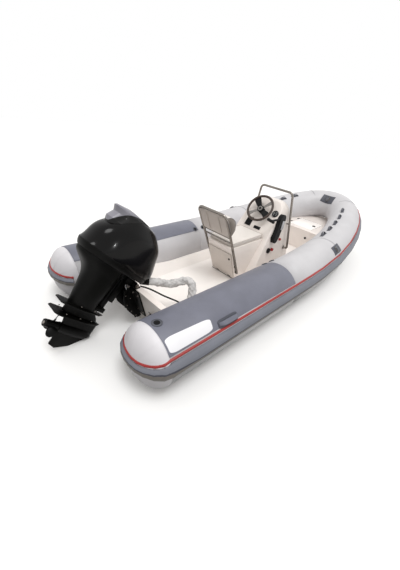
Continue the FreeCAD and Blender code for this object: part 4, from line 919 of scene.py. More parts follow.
@dataclass
class AirTubes:
    """Tubes, cones, grey panels, rubbing strake and the glued fittings."""

    seam_width: float = 22 * MM
    seam_steps: tuple = (0.14, 0.74)
    loop_steps: tuple = (0.181, 0.258, 0.34, 0.432, 0.54)
    loop_angle: float = 110
    loop_length: float = 120 * MM
    loop_width: float = 25 * MM
    loop_height: float = 44 * MM

    def skins(self) -> None:
        """Tube and cone skins, panels, strake and patches."""
        for node in ("bow_tube", "tube_port", "tube_starboard"):
            refinish(node, TUBE_FABRIC, angle=40)
        for side, _ in SIDES:
            refinish("stern_cone_" + side, CONE_FABRIC, angle=40)
            refinish("tube_panel_" + side, GREY_FABRIC, 1.2 * MM, angle=40)
        # The strake's finish paints shade on its faces that look down
        refinish("rubbing_strake", STRAKE_RUBBER_SHADED, angle=40)
        refinish("strake_stripe", STRIPE_RUBBER, angle=40)
        refinish("tube_patches", FITTING_RUBBER, 0.8 * MM, angle=40)
        self.labels()

    def labels(self) -> None:
        """Blank white patches with rounded corners on the stern panels."""
        corners = ((-222, 62.5), (208, 57.5), (192, 37), (-222, 37))
        patches = []
        for _, side in SIDES:
            def lay(u: float, v: float) -> Vector:
                """Place on the patch, drawn in at its corners.

                Args:
                    u: Share along the sheet, from 0 to 1.
                    v: Share across it, from 0 to 1.

                Returns:
                    The place.
                """
                a, b = 2 * u - 1, 2 * v - 1
                u = (1 + a * (1 - 0.07 * abs(b) ** 9)) / 2
                v = (1 + b * (1 - 0.16 * abs(a) ** 9)) / 2
                (x0, t0), (x1, t1), (x2, t2), (x3, t3) = corners
                x = (x0 * (1 - u) + x1 * u) * (1 - v) + (x3 * (1 - u) + x2 * u) * v
                turn = math.radians((t0 * (1 - u) + t1 * u) * (1 - v) + (t3 * (1 - u) + t2 * u) * v)
                reach = PATH.radius + 4.8 * MM
                return Vector((x * MM, side * (PATH.spread + reach * math.cos(turn)),
                               PATH.height + reach * math.sin(turn)))

            patch = sheet_from("patch", 40, 24, lay)
            modify(patch, "SOLIDIFY", thickness=1.2 * MM, offset=0)
            patches.append(patch)
        joined = soften(gather("name_patches_blank", patches), 0)
        dress(joined, PATCH_WHITE, "boat")
        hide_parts("name_patches")

    def seam(self, name: str, step: float, side: int, low: float = -68,
             high: float = 236) -> None:
        """A glued seam tape round the tube between two angles.

        Args:
            name: The piece's name.
            step: How far along the path.
            side: 1 for port, -1 for starboard.
            low: Degrees where it starts.
            high: Degrees where it ends.
        """
        girth = PATH.girth(PATH.centre(step).x)

        def lay(u: float, v: float) -> Vector:
            """Place of the tape at a share round and across."""
            place, _, ahead = PATH.spot(step, low + (high - low) * u, 0.9 * MM, side)
            return place + ahead * (v - 0.5) * self.seam_width * (0.6 + 0.4 * girth / PATH.radius)

        tape = sheet_from(name, 64, 2, lay)
        modify(tape, "SOLIDIFY", thickness=0.8 * MM, offset=0)
        soften(tape, 0)
        dress(tape, SEAM_FABRIC, "boat")

    def seams(self) -> None:
        """Seam tapes of the bow gores, and the overlap at the cones."""
        for side_name, side in SIDES:
            for number, step in enumerate(self.seam_steps):
                self.seam(f"bow_seam_{side_name}_{number}", step, side)
            self.cone_seam(side_name, side)

    def cone_seam(self, side_name: str, side: int) -> None:
        """Stitched seams that run down the stern cone from its middle.

        Args:
            side_name: The side's name.
            side: 1 for port, -1 for starboard.
        """
        length, girth = 165 * MM, PATH.radius
        tapes = []
        for turn in (20, 62, 104, 146):
            angle = math.radians(turn)

            def lay(u: float, v: float) -> Vector:
                """Place of one seam on the cone.

                Args:
                    u: Share along the sheet, from 0 to 1.
                    v: Share across it, from 0 to 1.

                Returns:
                    The place.
                """
                reach = math.radians(8 + 80 * u)
                swing = angle + (v - 0.5) * 0.05
                ring = (girth + 0.8 * MM) * math.sin(reach)
                return Vector((PATH.stern - (length + 0.8 * MM) * math.cos(reach),
                               side * PATH.spread + side * ring * math.cos(swing),
                               PATH.height + ring * math.sin(swing)))

            tape = sheet_from("cone_seam", 24, 2, lay)
            modify(tape, "SOLIDIFY", thickness=0.7 * MM, offset=0)
            tapes.append(tape)
        joined = soften(gather("cone_seams_" + side_name, tapes), 0)
        dress(joined, CONE_FABRIC, "boat")

    def loops(self) -> None:
        """Webbing grab loops that arch off their patches."""
        pieces = []
        for _, side in SIDES:
            for step in self.loop_steps:
                base, away, ahead = PATH.spot(step, self.loop_angle, 3.4 * MM, side)
                across = away.cross(ahead).normalized()

                def arch(u: float, v: float) -> Vector:
                    """Place on the arch at a share along and across.

                    Args:
                        u: Share along the sheet, from 0 to 1.
                        v: Share across it, from 0 to 1.

                    Returns:
                        The place.
                    """
                    s = 2 * u - 1
                    lift = (self.loop_height - 7 * MM) * (1 - abs(s) ** 2.6)
                    waist = 1 - 0.12 * (1 - s * s)
                    return (base + ahead * (s * self.loop_length * 0.5 * 0.94) + away * lift
                            + across * ((v - 0.5) * self.loop_width * waist))

                strap = sheet_from("loop", 20, 2, arch)
                modify(strap, "SOLIDIFY", thickness=3 * MM, offset=1)
                pieces.append(strap)
        loops = gather("grab_loops_webbing", pieces)
        modify(loops, "BEVEL", width=0.8 * MM, segments=2)
        soften(loops, 0, angle=50)
        dress(loops, WEBBING, "boat")
        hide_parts("grab_loops")

    def pads(self) -> None:
        """Moulded ridges and ring tabs on the bow pads."""
        ridges, tabs = [], []
        spots = [(PATH.spot(0.13, 49, 3.2 * MM, side), 150, 92) for _, side in SIDES]
        spots.append((PATH.spot(1, 148, 3.2 * MM), 176, 116))
        for (base, away, ahead), length, width in spots:
            across = away.cross(ahead).normalized()
            for shift in (-0.36, -0.12, 0.12, 0.36):
                def ridge(u: float, v: float) -> Vector:
                    """Place on a low moulded ridge.

                    Args:
                        u: Share along the sheet, from 0 to 1.
                        v: Share across it, from 0 to 1.

                    Returns:
                        The place.
                    """
                    s = 2 * u - 1
                    drop = (across * (shift * width * MM)).length_squared / 0.5
                    swell = 5 * MM * (1 - (2 * v - 1) ** 2) * (1 - s ** 6)
                    return (base + ahead * (s * length * MM * 0.42)
                            + across * (shift * width * MM + (v - 0.5) * 14 * MM)
                            + away * (swell + 0.4 * MM - drop
                                      - (s * length * MM * 0.42) ** 2 * 0.12))
                ridges.append(sheet_from("ridge", 14, 6, ridge))
            tabs.append(plate(base - away * 1.5 * MM - ahead * 10 * MM, ahead, across,
                              (34 * MM, 58 * MM, 20 * MM), 5 * MM, 2 * MM))
        for piece in ridges:
            modify(piece, "SOLIDIFY", thickness=2 * MM, offset=-1)
        joined = soften(gather("pad_ridges", ridges), 0, angle=50)
        dress(joined, FITTING_RUBBER, "boat")
        straps = soften(gather("ring_tabs", tabs), 1.6 * MM)
        dress(straps, WEBBING, "boat")
        refinish("d_rings", STEEL, angle=50)

    def handles(self) -> None:
        """Moulded rubber carry handles: a rounded foot and a ribbed grip that arches off it."""
        for side_name, side in SIDES:
            pieces = []
            for half, low, high, arch in ((118, 31.5, 47.5, 0), (108, 36.5, 43.5, 36)):
                def lay(u: float, v: float) -> Vector:
                    """Place on the foot, or on the grip when it arches.

                    Args:
                        u: Share along the sheet, from 0 to 1.
                        v: Share across it, from 0 to 1.

                    Returns:
                        The place.
                    """
                    a, b = 2 * u - 1, 2 * v - 1
                    drawn = a * (1 - 0.06 * abs(b) ** 6)
                    turn = math.radians((low + high) / 2 + (high - low) / 2 * b
                                        * (1 - 0.2 * abs(a) ** 8))
                    lift = 12 * MM * (1 - abs(b) ** 4) * (1 - abs(a) ** 12) if not arch else 0.0
                    lift += arch * MM * (1 - abs(a) ** 5) + (6 * MM if arch else 0.0)
                    reach = PATH.radius + 5 * MM + lift
                    return Vector(((370 + drawn * half) * MM,
                                   side * (PATH.spread + reach * math.cos(turn)),
                                   PATH.height + reach * math.sin(turn)))

                part = sheet_from("handle_part", 48, 12, lay)
                modify(part, "SOLIDIFY", thickness=(12 if arch else 5) * MM, offset=-1)
                pieces.append(part)
            # The foot's dark finish is painted shade under the raised grip
            for part, kind, finish in zip(pieces, ("foot", "grip"), (HANDLE_FOOT_PAINTED_SHADE, GRIP_RUBBER)):
                part.name = f"carry_handle_{side_name}_{kind}"
                modify(part, "BEVEL", width=2.5 * MM, segments=2, limit_method="ANGLE")
                soften(part, 0, angle=45)
                dress(part, finish, "boat")
            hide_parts("carry_handle_" + side_name)

    def valves(self) -> None:
        """Screw-in valves: a ring, a sunk cap and a grip bar across it."""
        spots = [(-176, -1, 92, 42, 6.4)] + [(x, s, 127, 30, 3.4) for x in (1372, 1510)
                                             for _, s in SIDES]
        rings, caps = [], []
        for x, side, angle, radius, lift in spots:
            turn = math.radians(angle)
            away = Vector((0, side * math.cos(turn), math.sin(turn)))
            level = PATH.centre(min((x * MM - PATH.bow_start)
                                    / (PATH.bow_start - PATH.panel_front), 0)).z
            middle = Vector((x * MM, side * PATH.spread, level)) + away * (PATH.radius + 2 * MM)
            rings.append(stepped_disc(middle, away, radius * MM,
                                      ((5 * MM, 2 * MM), (4 * MM, 0), (1 * MM, -4 * MM)),
                                      6 * MM, 40))
            caps.append(stepped_disc(middle, away, radius * 0.58 * MM,
                                     ((4 * MM, 1.5 * MM), (2 * MM, -1.5 * MM)), 7 * MM, 32))
            across = away.cross(Vector((1, 0, 0))).normalized()
            caps.append(plate(middle + away * 5 * MM, Vector((1, 0.4 * across.y, 0.4 * across.z)),
                              across, (radius * 0.8 * MM, 6 * MM, 6 * MM)))
        ring = soften(gather("valve_rings", rings), 1 * MM)
        dress(ring, VALVE_PLASTIC, "boat")
        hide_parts("valves")
        cap = soften(gather("valve_caps", caps), 0.8 * MM)
        dress(cap, BLACK_PLASTIC, "boat")

    def build(self) -> None:
        """All of the tubes and their fittings."""
        self.skins()
        self.seams()
        self.loops()
        self.pads()
        self.handles()
        self.valves()


# Seats
@dataclass
class SoftSeats:
    """Seat cushion and backrest bolster, blown up a little inside their vinyl covers."""

    voxel: float = 9 * MM
    pressure: float = 4.0
    travel: float = 9 * MM
    frames: int = 16

    def inflate(self, piece: bpy.types.Object) -> None:
        """Swell a closed mesh under pressure, with its movement capped.

        Args:
            piece: The closed mesh.
        """
        modify(piece, "REMESH", mode="VOXEL", voxel_size=self.voxel)
        before = [vertex.co.copy() for vertex in piece.data.vertices]
        activate(piece)
        cloth = piece.modifiers.new("Cloth", "CLOTH")
        cloth.settings.use_pressure = True
        cloth.settings.uniform_pressure_force = self.pressure
        cloth.settings.effector_weights.gravity = 0
        cloth.settings.tension_stiffness = 20
        cloth.settings.compression_stiffness = 20
        for number in range(1, self.frames + 1):
            bpy.context.scene.frame_set(number)
        activate(piece)
        bpy.ops.object.modifier_apply(modifier=cloth.name)
        bpy.context.scene.frame_set(1)
        for vertex, start in zip(piece.data.vertices, before):
            move = vertex.co - start
            if move.length > self.travel:
                vertex.co = start + move.normalized() * self.travel

    def upholster(self, node: str, name: str, shrink: float) -> bpy.types.Object:
        """A padded copy of a CAD cushion.

        Args:
            node: The CAD node.
            name: The new piece's name.
            shrink: How far its faces start inside the solid, to leave room for the swell.

        Returns:
            The padded cushion.
        """
        piece = copied(node, name, flat=True)
        modify(piece, "REMESH", mode="VOXEL", voxel_size=self.voxel)
        modify(piece, "DISPLACE", strength=-shrink, mid_level=0.0)
        self.inflate(piece)
        modify(piece, "SMOOTH", factor=0.5, iterations=2)
        modify(piece, "SUBSURF", levels=1)
        activate(piece)
        bpy.ops.object.shade_smooth()
        return piece

    def seat(self) -> None:
        """Seat cushion with piping round its top."""
        cushion = self.upholster("seat_cushion", "seat_cushion_vinyl", 4 * MM)
        dress(cushion, CREAM_VINYL, "boat")
        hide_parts("seat_cushion")
        self.pipe("seat_piping", ((1258, 181), (1266, 186), (1824, 186), (1833, 177)), 598)
        self.pipe("seat_piping_low", ((1255, 184), (1264, 189), (1826, 189), (1836, 180)), 556)

    def pipe(self, name: str, corners: Sequence[tuple[float, float]], level: float) -> None:
        """A bead of piping round the cushion at one level.

        Args:
            name: The piece's name.
            corners: Its corners on the port side, in millimetres.
            level: Its height, in millimetres.
        """
        points = [Vector((x * MM, y * MM, level * MM)) for x, y in corners]
        points += [Vector((p.x, -p.y, p.z)) for p in reversed(points)]
        bead = rod(points + points[:1], 2.6 * MM, name, 2)
        dress(bead, SEAT_PIPING, "boat")

    def backrest(self) -> None:
        """Bolster with stitched seams at its ends, and the moulded panel behind it."""
        bolster = self.upholster("backrest_cushion", "backrest_bolster", 4 * MM)
        bolster.data.materials.clear()
        bolster.data.materials.append(CREAM_VINYL.build())
        bolster.data.materials.append(BOLSTER_VINYL.build())
        for face in bolster.data.polygons:
            if abs(face.center.y) > 176 * MM:
                face.material_index = 1
        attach(bolster, "boat")
        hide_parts("backrest_cushion")
        for side_name, side in SIDES:
            self.bolster_piping("bolster_piping_" + side_name, side * 177 * MM)
        refinish("backrest_panel", BEIGE_PANEL, 5 * MM, segments=3)
        head = Vector((1035 * MM, 0, 965 * MM))
        ribs = []
        for across in (-88, 88):
            middle = head - REST_UP * 154 * MM + Vector((0, across * MM, 0)) + REST_FRONT * -9 * MM
            ribs.append(plate(middle, REST_UP, Vector((0, 1, 0)), (210 * MM, 16 * MM, 7 * MM)))
        rib = soften(gather("backrest_ribs", ribs), 3 * MM, 3)
        dress(rib, BEIGE_PANEL, "boat")

    def bolster_piping(self, name: str, across: float) -> None:
        """A dark bead round one end of the bolster.

        Args:
            name: The piece's name.
            across: Its place across the boat.
        """
        head = Vector((1035 * MM, across, 965 * MM))
        outline = ((54, 14), (70, 52), (90, 86), (134, 120), (180, 139), (230, 132), (276, 112),
                   (304, 60), (320, 14))
        points = [head - REST_UP * down * MM + REST_FRONT * out * MM for down, out in outline]
        bead = rod(points, 2.6 * MM, name, 2)
        dress(bead, PIPING, "boat")

    def build(self) -> None:
        """Both cushions."""
        self.seat()
        self.backrest()


# Hull, deck and consoles
@dataclass
class Mouldings:
    """Gelcoat mouldings: hull, transom, deck, locker, seat box and console."""

    def build(self) -> None:
        """Smooth copies of the mouldings with rounded edges, and their small parts."""
        refinish("hull", GELCOAT, 2 * MM, angle=30)
        refinish("deck_liner", DECK, 3 * MM, angle=30)
        for node, finish, edge in (("transom", GELCOAT, 5), ("bow_locker", GELCOAT, 5),
                                   ("bow_lid", DECK, 4), ("seat_box", GELCOAT, 6),
                                   ("seat_hatch", BEIGE_PANEL, 4), ("console", GELCOAT, 10)):
            refinish(node, finish, edge * MM, segments=3, flat=True)
        for node, finish, edge in (("locker_latch", BLACK_PLASTIC, 1),
                                   ("hatch_latch", BLACK_PLASTIC, 1.5),
                                   ("lid_pull", BLACK_PLASTIC, 1), ("hatch_hinges", STEEL, 1),
                                   ("lid_hinges", STEEL, 1), ("tow_eyes", STEEL, 2)):
            refinish(node, finish, edge * MM)
        self.gasket()
        # A dark bead at the seat box's foot, as painted shadow
        self.foot_shade_bead()

    def foot_shade_bead(self) -> None:
        """Dark bead where the seat box stands on the deck: a painted shadow line along its foot."""
        points = [Vector((1470, 197, 83)), Vector((1404, 197, 83)), Vector((1404, -197, 83)),
                  Vector((1470, -197, 83))]
        bead = rod([point * MM for point in points], 3 * MM, "seat_sealant", 2)
        dress(bead, GASKET_AND_SHADE_BEAD, "boat")

    def gasket(self) -> None:
        """Dark rubber seal in the gap round the locker lid."""
        lid = frame["nodes"]["bow_lid"]
        box = [v.co for v in lid.data.vertices]
        xs, level = sorted({round(v.x, 4) for v in box}), 392 * MM
        front, aft = xs[-1], xs[0]
        rear_half = max(abs(v.y) for v in box if abs(v.x - aft) < 8 * MM)
        fore_half = max(abs(v.y) for v in box if abs(v.x - front) < 8 * MM)
        points = [Vector((aft - 2.5 * MM, rear_half + 2 * MM, level)),
                  Vector((front + 2.5 * MM, fore_half + 2 * MM, level))]
        points += [Vector((p.x, -p.y, p.z)) for p in reversed(points)]
        bead = rod(points + points[:1], 2 * MM, "lid_gasket", 1)
        dress(bead, GASKET_AND_SHADE_BEAD, "boat")


# Stainless frames
@dataclass
class SteelFrames:
    """Handrail and backrest frame with welded base plates."""

    def build(self) -> None:
        """Both frames, with a round flange at each foot."""
        refinish("handrail", STEEL, angle=50)
        refinish("backrest_frame", STEEL, angle=50)
        flanges = []
        for _, side in SIDES:
            foot = Vector((1405 * MM, side * 209.3 * MM, 190 * MM))
            for rise in (10 * MM, 110 * MM):
                spot = foot + REST_UP * rise
                spot.y = side * 196 * MM
                flanges.append(stepped_disc(spot, Vector((0, side, 0)), 24 * MM,
                                            ((5 * MM, 1.5 * MM),), 5 * MM, 28))
        piece = soften(gather("frame_flanges", flanges), 0.8 * MM)
        dress(piece, STEEL, "boat")


# Dash and wheel
@dataclass
class Dash:
    """Helm, gauge, switch panels and the steering wheel."""

    foot: tuple = (1868 * MM, 0.0, 612 * MM)
    up: tuple = (0.60147, 0.0, 0.79890)
    out: tuple = (-0.79890, 0.0, 0.60147)
    wheel_up: float = 247 * MM
    wheel_across: float = 20 * MM
    stand_off: float = 80 * MM
    rim: float = 165 * MM
    grip: float = 15 * MM

    def at(self, up: float, across: float, out: float = 0.0) -> Vector:
        """A point on the dash, or out from it."""
        point = Vector(self.foot) + Vector(self.up) * up + Vector(self.out) * out
        return point + Vector((0, across, 0))

    def panels(self) -> None:
        """Switch panels with a frame and rows of rocker switches."""
        refinish("switch_panels", BLACK_PLASTIC, 1.5 * MM)
        up, port = Vector(self.up), Vector((0, 1, 0))
        rockers = []
        for column in (-1, 0, 1):
            for row in (-1, 0, 1):
                spot = self.at((66 + row * 36) * MM, (112 + column * 27) * MM, 8 * MM)
                rockers.append(plate(spot, port, up * -1, (17 * MM, 26 * MM, 6 * MM),
                                     3 * MM, 2 * MM))
        for column in (-1, 0, 1):
            spot = self.at(22 * MM, (-44 + column * 28) * MM, 8 * MM)
            rockers.append(plate(spot, port, up * -1, (17 * MM, 24 * MM, 5 * MM), 3 * MM, 2 * MM))
        piece = soften(gather("rocker_switches", rockers), 0.8 * MM)
        dress(piece, BLACK_PLASTIC, "boat")

    def gauge(self) -> None:
        """Gauge with a raised bezel, a glass face and a blank dial with a needle."""
        spot = self.at(267 * MM, -172 * MM, 0.3 * MM)
        bezel = stepped_disc(spot, Vector(self.out), 42 * MM,
                             ((5 * MM, 2 * MM), (3 * MM, -3 * MM)), 12 * MM, 48)
        soften(bezel, 0.8 * MM)
        bezel.name = "gauge_bezel"
        dress(bezel, BLACK_PLASTIC, "boat")
        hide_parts("gauge")
        glass = disc(spot + Vector(self.out) * 8 * MM, Vector(self.out), 33 * MM, 3.4 * MM, 48)
        glass.name = "gauge_glass"
        soften(glass, 0.5 * MM)
        dress(glass, DIAL_GLASS, "boat")
        marks = []
        for turn in range(-135, 136, 27):
            angle = math.radians(turn)
            way = Vector(self.up) * math.cos(angle) + Vector((0, 1, 0)) * math.sin(angle)
            side = Vector(self.out).cross(way)
            marks.append(plate(spot + Vector(self.out) * 11.3 * MM + way * 26 * MM, way, side,
                               (7 * MM, 1.6 * MM, 0.5 * MM)))
        way = (Vector(self.up) * 0.6 + Vector((0, 0.8, 0))).normalized()
        marks.append(plate(spot + Vector(self.out) * 11.3 * MM + way * 8 * MM, way,
                           Vector(self.out).cross(way), (28 * MM, 2 * MM, 0.8 * MM)))
        ticks = gather("gauge_marks", marks)
        dress(ticks, DIAL_MARK, "boat")

    def helm(self) -> None:
        """Helm boss under the wheel."""
        refinish("helm", BLACK_PLASTIC, 3 * MM, segments=3)

    def wheel(self) -> None:
        """Wheel with a wrapped rim, alloy spokes with dark inlays, and a capped hub."""
        centre = self.at(self.wheel_up, self.wheel_across, self.stand_off)
        out, up, port = Vector(self.out), Vector(self.up), Vector((0, 1, 0))
        deselect()
        bpy.ops.mesh.primitive_torus_add(major_segments=72, minor_segments=16,
                                         major_radius=self.rim, minor_radius=self.grip,
                                         location=centre,
                                         rotation=UP.rotation_difference(out).to_euler())
        rim = settle(bpy.context.object)
        rim.name = "wheel_rim"
        bpy.ops.object.shade_smooth()
        dress(rim, RIM_GRIP, "steering_wheel")
        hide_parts("steering_wheel")
        spokes, inlays = [], []
        for turn in (45, 135, 205, 315):
            angle = math.radians(turn)
            way = port * math.cos(angle) + up * math.sin(angle)
            side = out.cross(way)

            def blade(u: float, v: float) -> Vector:
                """Place on a spoke that sinks towards the hub.

                Args:
                    u: Share along the sheet, from 0 to 1.
                    v: Share across it, from 0 to 1.

                Returns:
                    The place.
                """
                reach = 26 * MM + (self.rim - 30 * MM) * u
                width = (36 + 22 * u - 12 * math.sin(math.pi * min(u * 1.1, 1))) * MM
                if turn in (45, 205):
                    width = (44 + 66 * u ** 0.8 * (1 - 0.3 * u)) * MM
                sink = -20 * MM * (1 - u) ** 2
                crown = 2.5 * MM * (1 - (2 * v - 1) ** 2)
                return (centre + way * reach + side * (v - 0.5) * width
                        + out * (sink + crown - 2 * MM))

            spoke = sheet_from("spoke", 14, 8, blade)
            modify(spoke, "SOLIDIFY", thickness=6 * MM, offset=-1)
            (spokes if turn in (135, 315) else inlays).append(spoke)
        hub_foot = centre + out * (-35.4 * MM)
        hub = stepped_disc(hub_foot, out, 34 * MM, ((4 * MM, 3 * MM), (3 * MM, -2 * MM)),
                           27 * MM, 48)
        metal = soften(gather("wheel_spokes", spokes + [hub]), 1 * MM, angle=40)
        dress(metal, WHEEL_METAL, "steering_wheel")
        dark = soften(gather("wheel_inlays", inlays), 1 * MM, angle=40)
        dress(dark, BLACK_PLASTIC, "steering_wheel")
        boss = stepped_disc(centre - out * 16 * MM, out, 44 * MM, ((4 * MM, 2 * MM),), 8 * MM, 40)
        boss.name = "wheel_boss"
        dress(soften(boss, 1.2 * MM), BLACK_PLASTIC, "steering_wheel")
        ring = stepped_disc(centre - out * 8 * MM, out, 31 * MM, ((6 * MM, 1.5 * MM),), 6 * MM, 40)
        ring.name = "wheel_hub_ring"
        dress(soften(ring, 1.2 * MM), WHEEL_METAL, "steering_wheel")
        cap = stepped_disc(centre - out * 4 * MM, out, 16 * MM, ((3 * MM, 1.5 * MM),), 5 * MM, 40)
        cap.name = "wheel_cap"
        soften(cap, 1.2 * MM)
        dress(cap, BLACK_PLASTIC, "steering_wheel")

    def controls(self) -> None:
        """Engine control, its side plate, the battery switch and the red knobs."""
        refinish("engine_control", BLACK_PLASTIC, 4 * MM, segments=3)
        refinish("control_plate", SILVER_PLASTIC, 1 * MM)
        refinish("battery_switch", BLACK_PLASTIC, 2 * MM)
        refinish("red_knobs", RED_PLASTIC, 2 * MM)

    def build(self) -> None:
        """All of the dash."""
        self.panels()
        self.gauge()
        self.helm()
        self.wheel()
        self.controls()


# Outboard motor
@dataclass
class Outboard:
    """Outboard motor, its bracket and its tilt ram."""

    axis: tuple = (40 * MM, 0.0, 450 * MM)
    tilt: float = 45.0

    def at(self, x: float, y: float, z: float) -> Vector:
        """A point given in millimetres from the tilt axis on the upright motor."""
        turn = Matrix.Rotation(math.radians(self.tilt), 3, "Y")
        return Vector(self.axis) + turn @ (Vector((x, y, z)) * MM)

    def way(self, x: float, y: float, z: float) -> Vector:
        """A direction on the upright motor."""
        return (Matrix.Rotation(math.radians(self.tilt), 3, "Y") @ Vector((x, y, z))).normalized()

    def build(self) -> None:
        """All of the motor."""
        refinish("cowl", ENGINE_BLACK, 6 * MM, segments=3, angle=40)
        refinish("motor_cap", CAP_GREY, 6 * MM, segments=3, angle=28)
        for node, edge in (("cowl_tray", 3), ("motor_leg", 3), ("gearcase", 2), ("propeller", 1.5)):
            refinish(node, ENGINE_SATIN, edge * MM, angle=40)
        for node, finish, edge in (("swivel_bracket", ENGINE_SATIN, 3),
                                   ("clamp_bracket", ENGINE_SATIN, 3),
                                   ("ram_barrel", ENGINE_SATIN, 2), ("ram_rod", HYDRAULIC, 1)):
            refinish(node, finish, edge * MM)
        self.bolts()
        self.nut()
        self.trim_unit()
        self.cheeks()
        self.small_bolts()

    def trim_unit(self) -> None:
        """Trim pump and reservoir beside the ram, on the clamp bracket."""
        for name, across, radius, low, high in (("trim_pump", 50, 23, 186, 318),
                                                ("trim_reservoir", -50, 21, 196, 300)):
            foot = Vector((20, across, low)) * MM
            body = stepped_disc(foot, UP, radius * MM, ((4 * MM, 5 * MM), (6 * MM, 12 * MM)),
                                (high - low) * MM, 36)
            plug = disc(foot + UP * (high - low) * MM, UP, 8 * MM, 26 * MM, 6)
            unit = soften(gather(name, [body, plug]), 1.5 * MM)
            dress(unit, ENGINE_SATIN, "boat")

    def cheeks(self) -> None:
        """Cast webs that carry the clamp plates aft, with their bolts."""
        outline = ((0, 442), (-40, 437), (-66, 408), (-79, 354), (-79, 288), (-50, 198), (6, 116),
                   (58, 66), (88, 66))
        webs, heads = [], []
        for _, side in SIDES:
            mesh = bpy.data.meshes.new("clamp_web")
            corners = [Vector((x, side * 89, z)) * MM for x, z in outline]
            mesh.from_pydata(corners, [], [tuple(range(len(corners)))])
            web = bpy.data.objects.new("clamp_web", mesh)
            bpy.context.collection.objects.link(web)
            modify(web, "SOLIDIFY", thickness=11 * MM, offset=0)
            webs.append(web)
            for x, z in ((-62, 372), (-52, 262), (-12, 176), (36, 108), (-18, 330)):
                heads.append(disc(Vector((x, side * 94, z)) * MM, Vector((0, side, 0)), 8 * MM,
                                  6 * MM, 6))
        web = gather("clamp_webs", webs)
        modify(web, "BEVEL", width=3.5 * MM, segments=3, limit_method="ANGLE")
        dress(soften(web, 0, angle=40), ENGINE_SATIN, "boat")
        dress(soften(gather("clamp_bolts", heads), 0.8 * MM), STEEL, "boat")

    def small_bolts(self) -> None:
        """Bolt heads of the leg, the plates and the tilt tube's ends."""
        heads = []
        for side in (1, -1):
            for x, y, z in ((-112, 40, -478), (-250, 70, -478), (-390, 76, -478), (-150, 44, -384),
                            (-300, 56, -384)):
                spot = self.at(x, side * y, z)
                heads.append(disc(spot, self.way(0, 0, 1), 7 * MM, 6 * MM, 6))
        piece = soften(gather("leg_bolts", heads), 0.6 * MM)
        dress(piece, STEEL, "motor")
        nuts = []
        for side in (1, -1):
            spot = Vector(self.axis) + Vector((0, side * 112 * MM, 0))
            nuts.append(disc(spot, Vector((0, side, 0)), 22 * MM, 12 * MM, 6))
        nut = soften(gather("tilt_tube_nuts", nuts), 1 * MM)
        dress(nut, STEEL, "swivel")

    def bolts(self) -> None:
        """Bolt heads on the bracket's flanges, where it is held to the transom."""
        rake = math.radians(14)
        aft = Vector((-math.cos(rake), 0, -math.sin(rake)))
        heads = []
        for _, side in SIDES:
            for share, across in ((0.16, 190), (0.84, 190), (0.16, 118), (0.84, 118)):
                level = (150 + 298 * share) * MM
                x = (460 * MM - level) * math.tan(rake) - 12.6 * MM
                spot = Vector((x, side * across * MM, level))
                washer = disc(spot, aft, 15 * MM, 2.5 * MM, 28)
                head = disc(spot + aft * 2.5 * MM, aft, 10 * MM, 8 * MM, 6)
                heads += [washer, head]
        piece = soften(gather("bracket_bolts", heads), 0.8 * MM)
        dress(piece, STEEL, "boat")

    def nut(self) -> None:
        """Propeller nut behind the hub."""
        spot = self.at(-452, 0, -622)
        aft = self.way(-1, 0, 0)
        nut = gather("propeller_nut", [disc(spot, aft, 15 * MM, 10 * MM, 6),
                                       disc(spot - aft * 1.2 * MM, aft, 20 * MM, 4 * MM, 32)])
        soften(nut, 0.8 * MM)
        dress(nut, STEEL, "propeller")


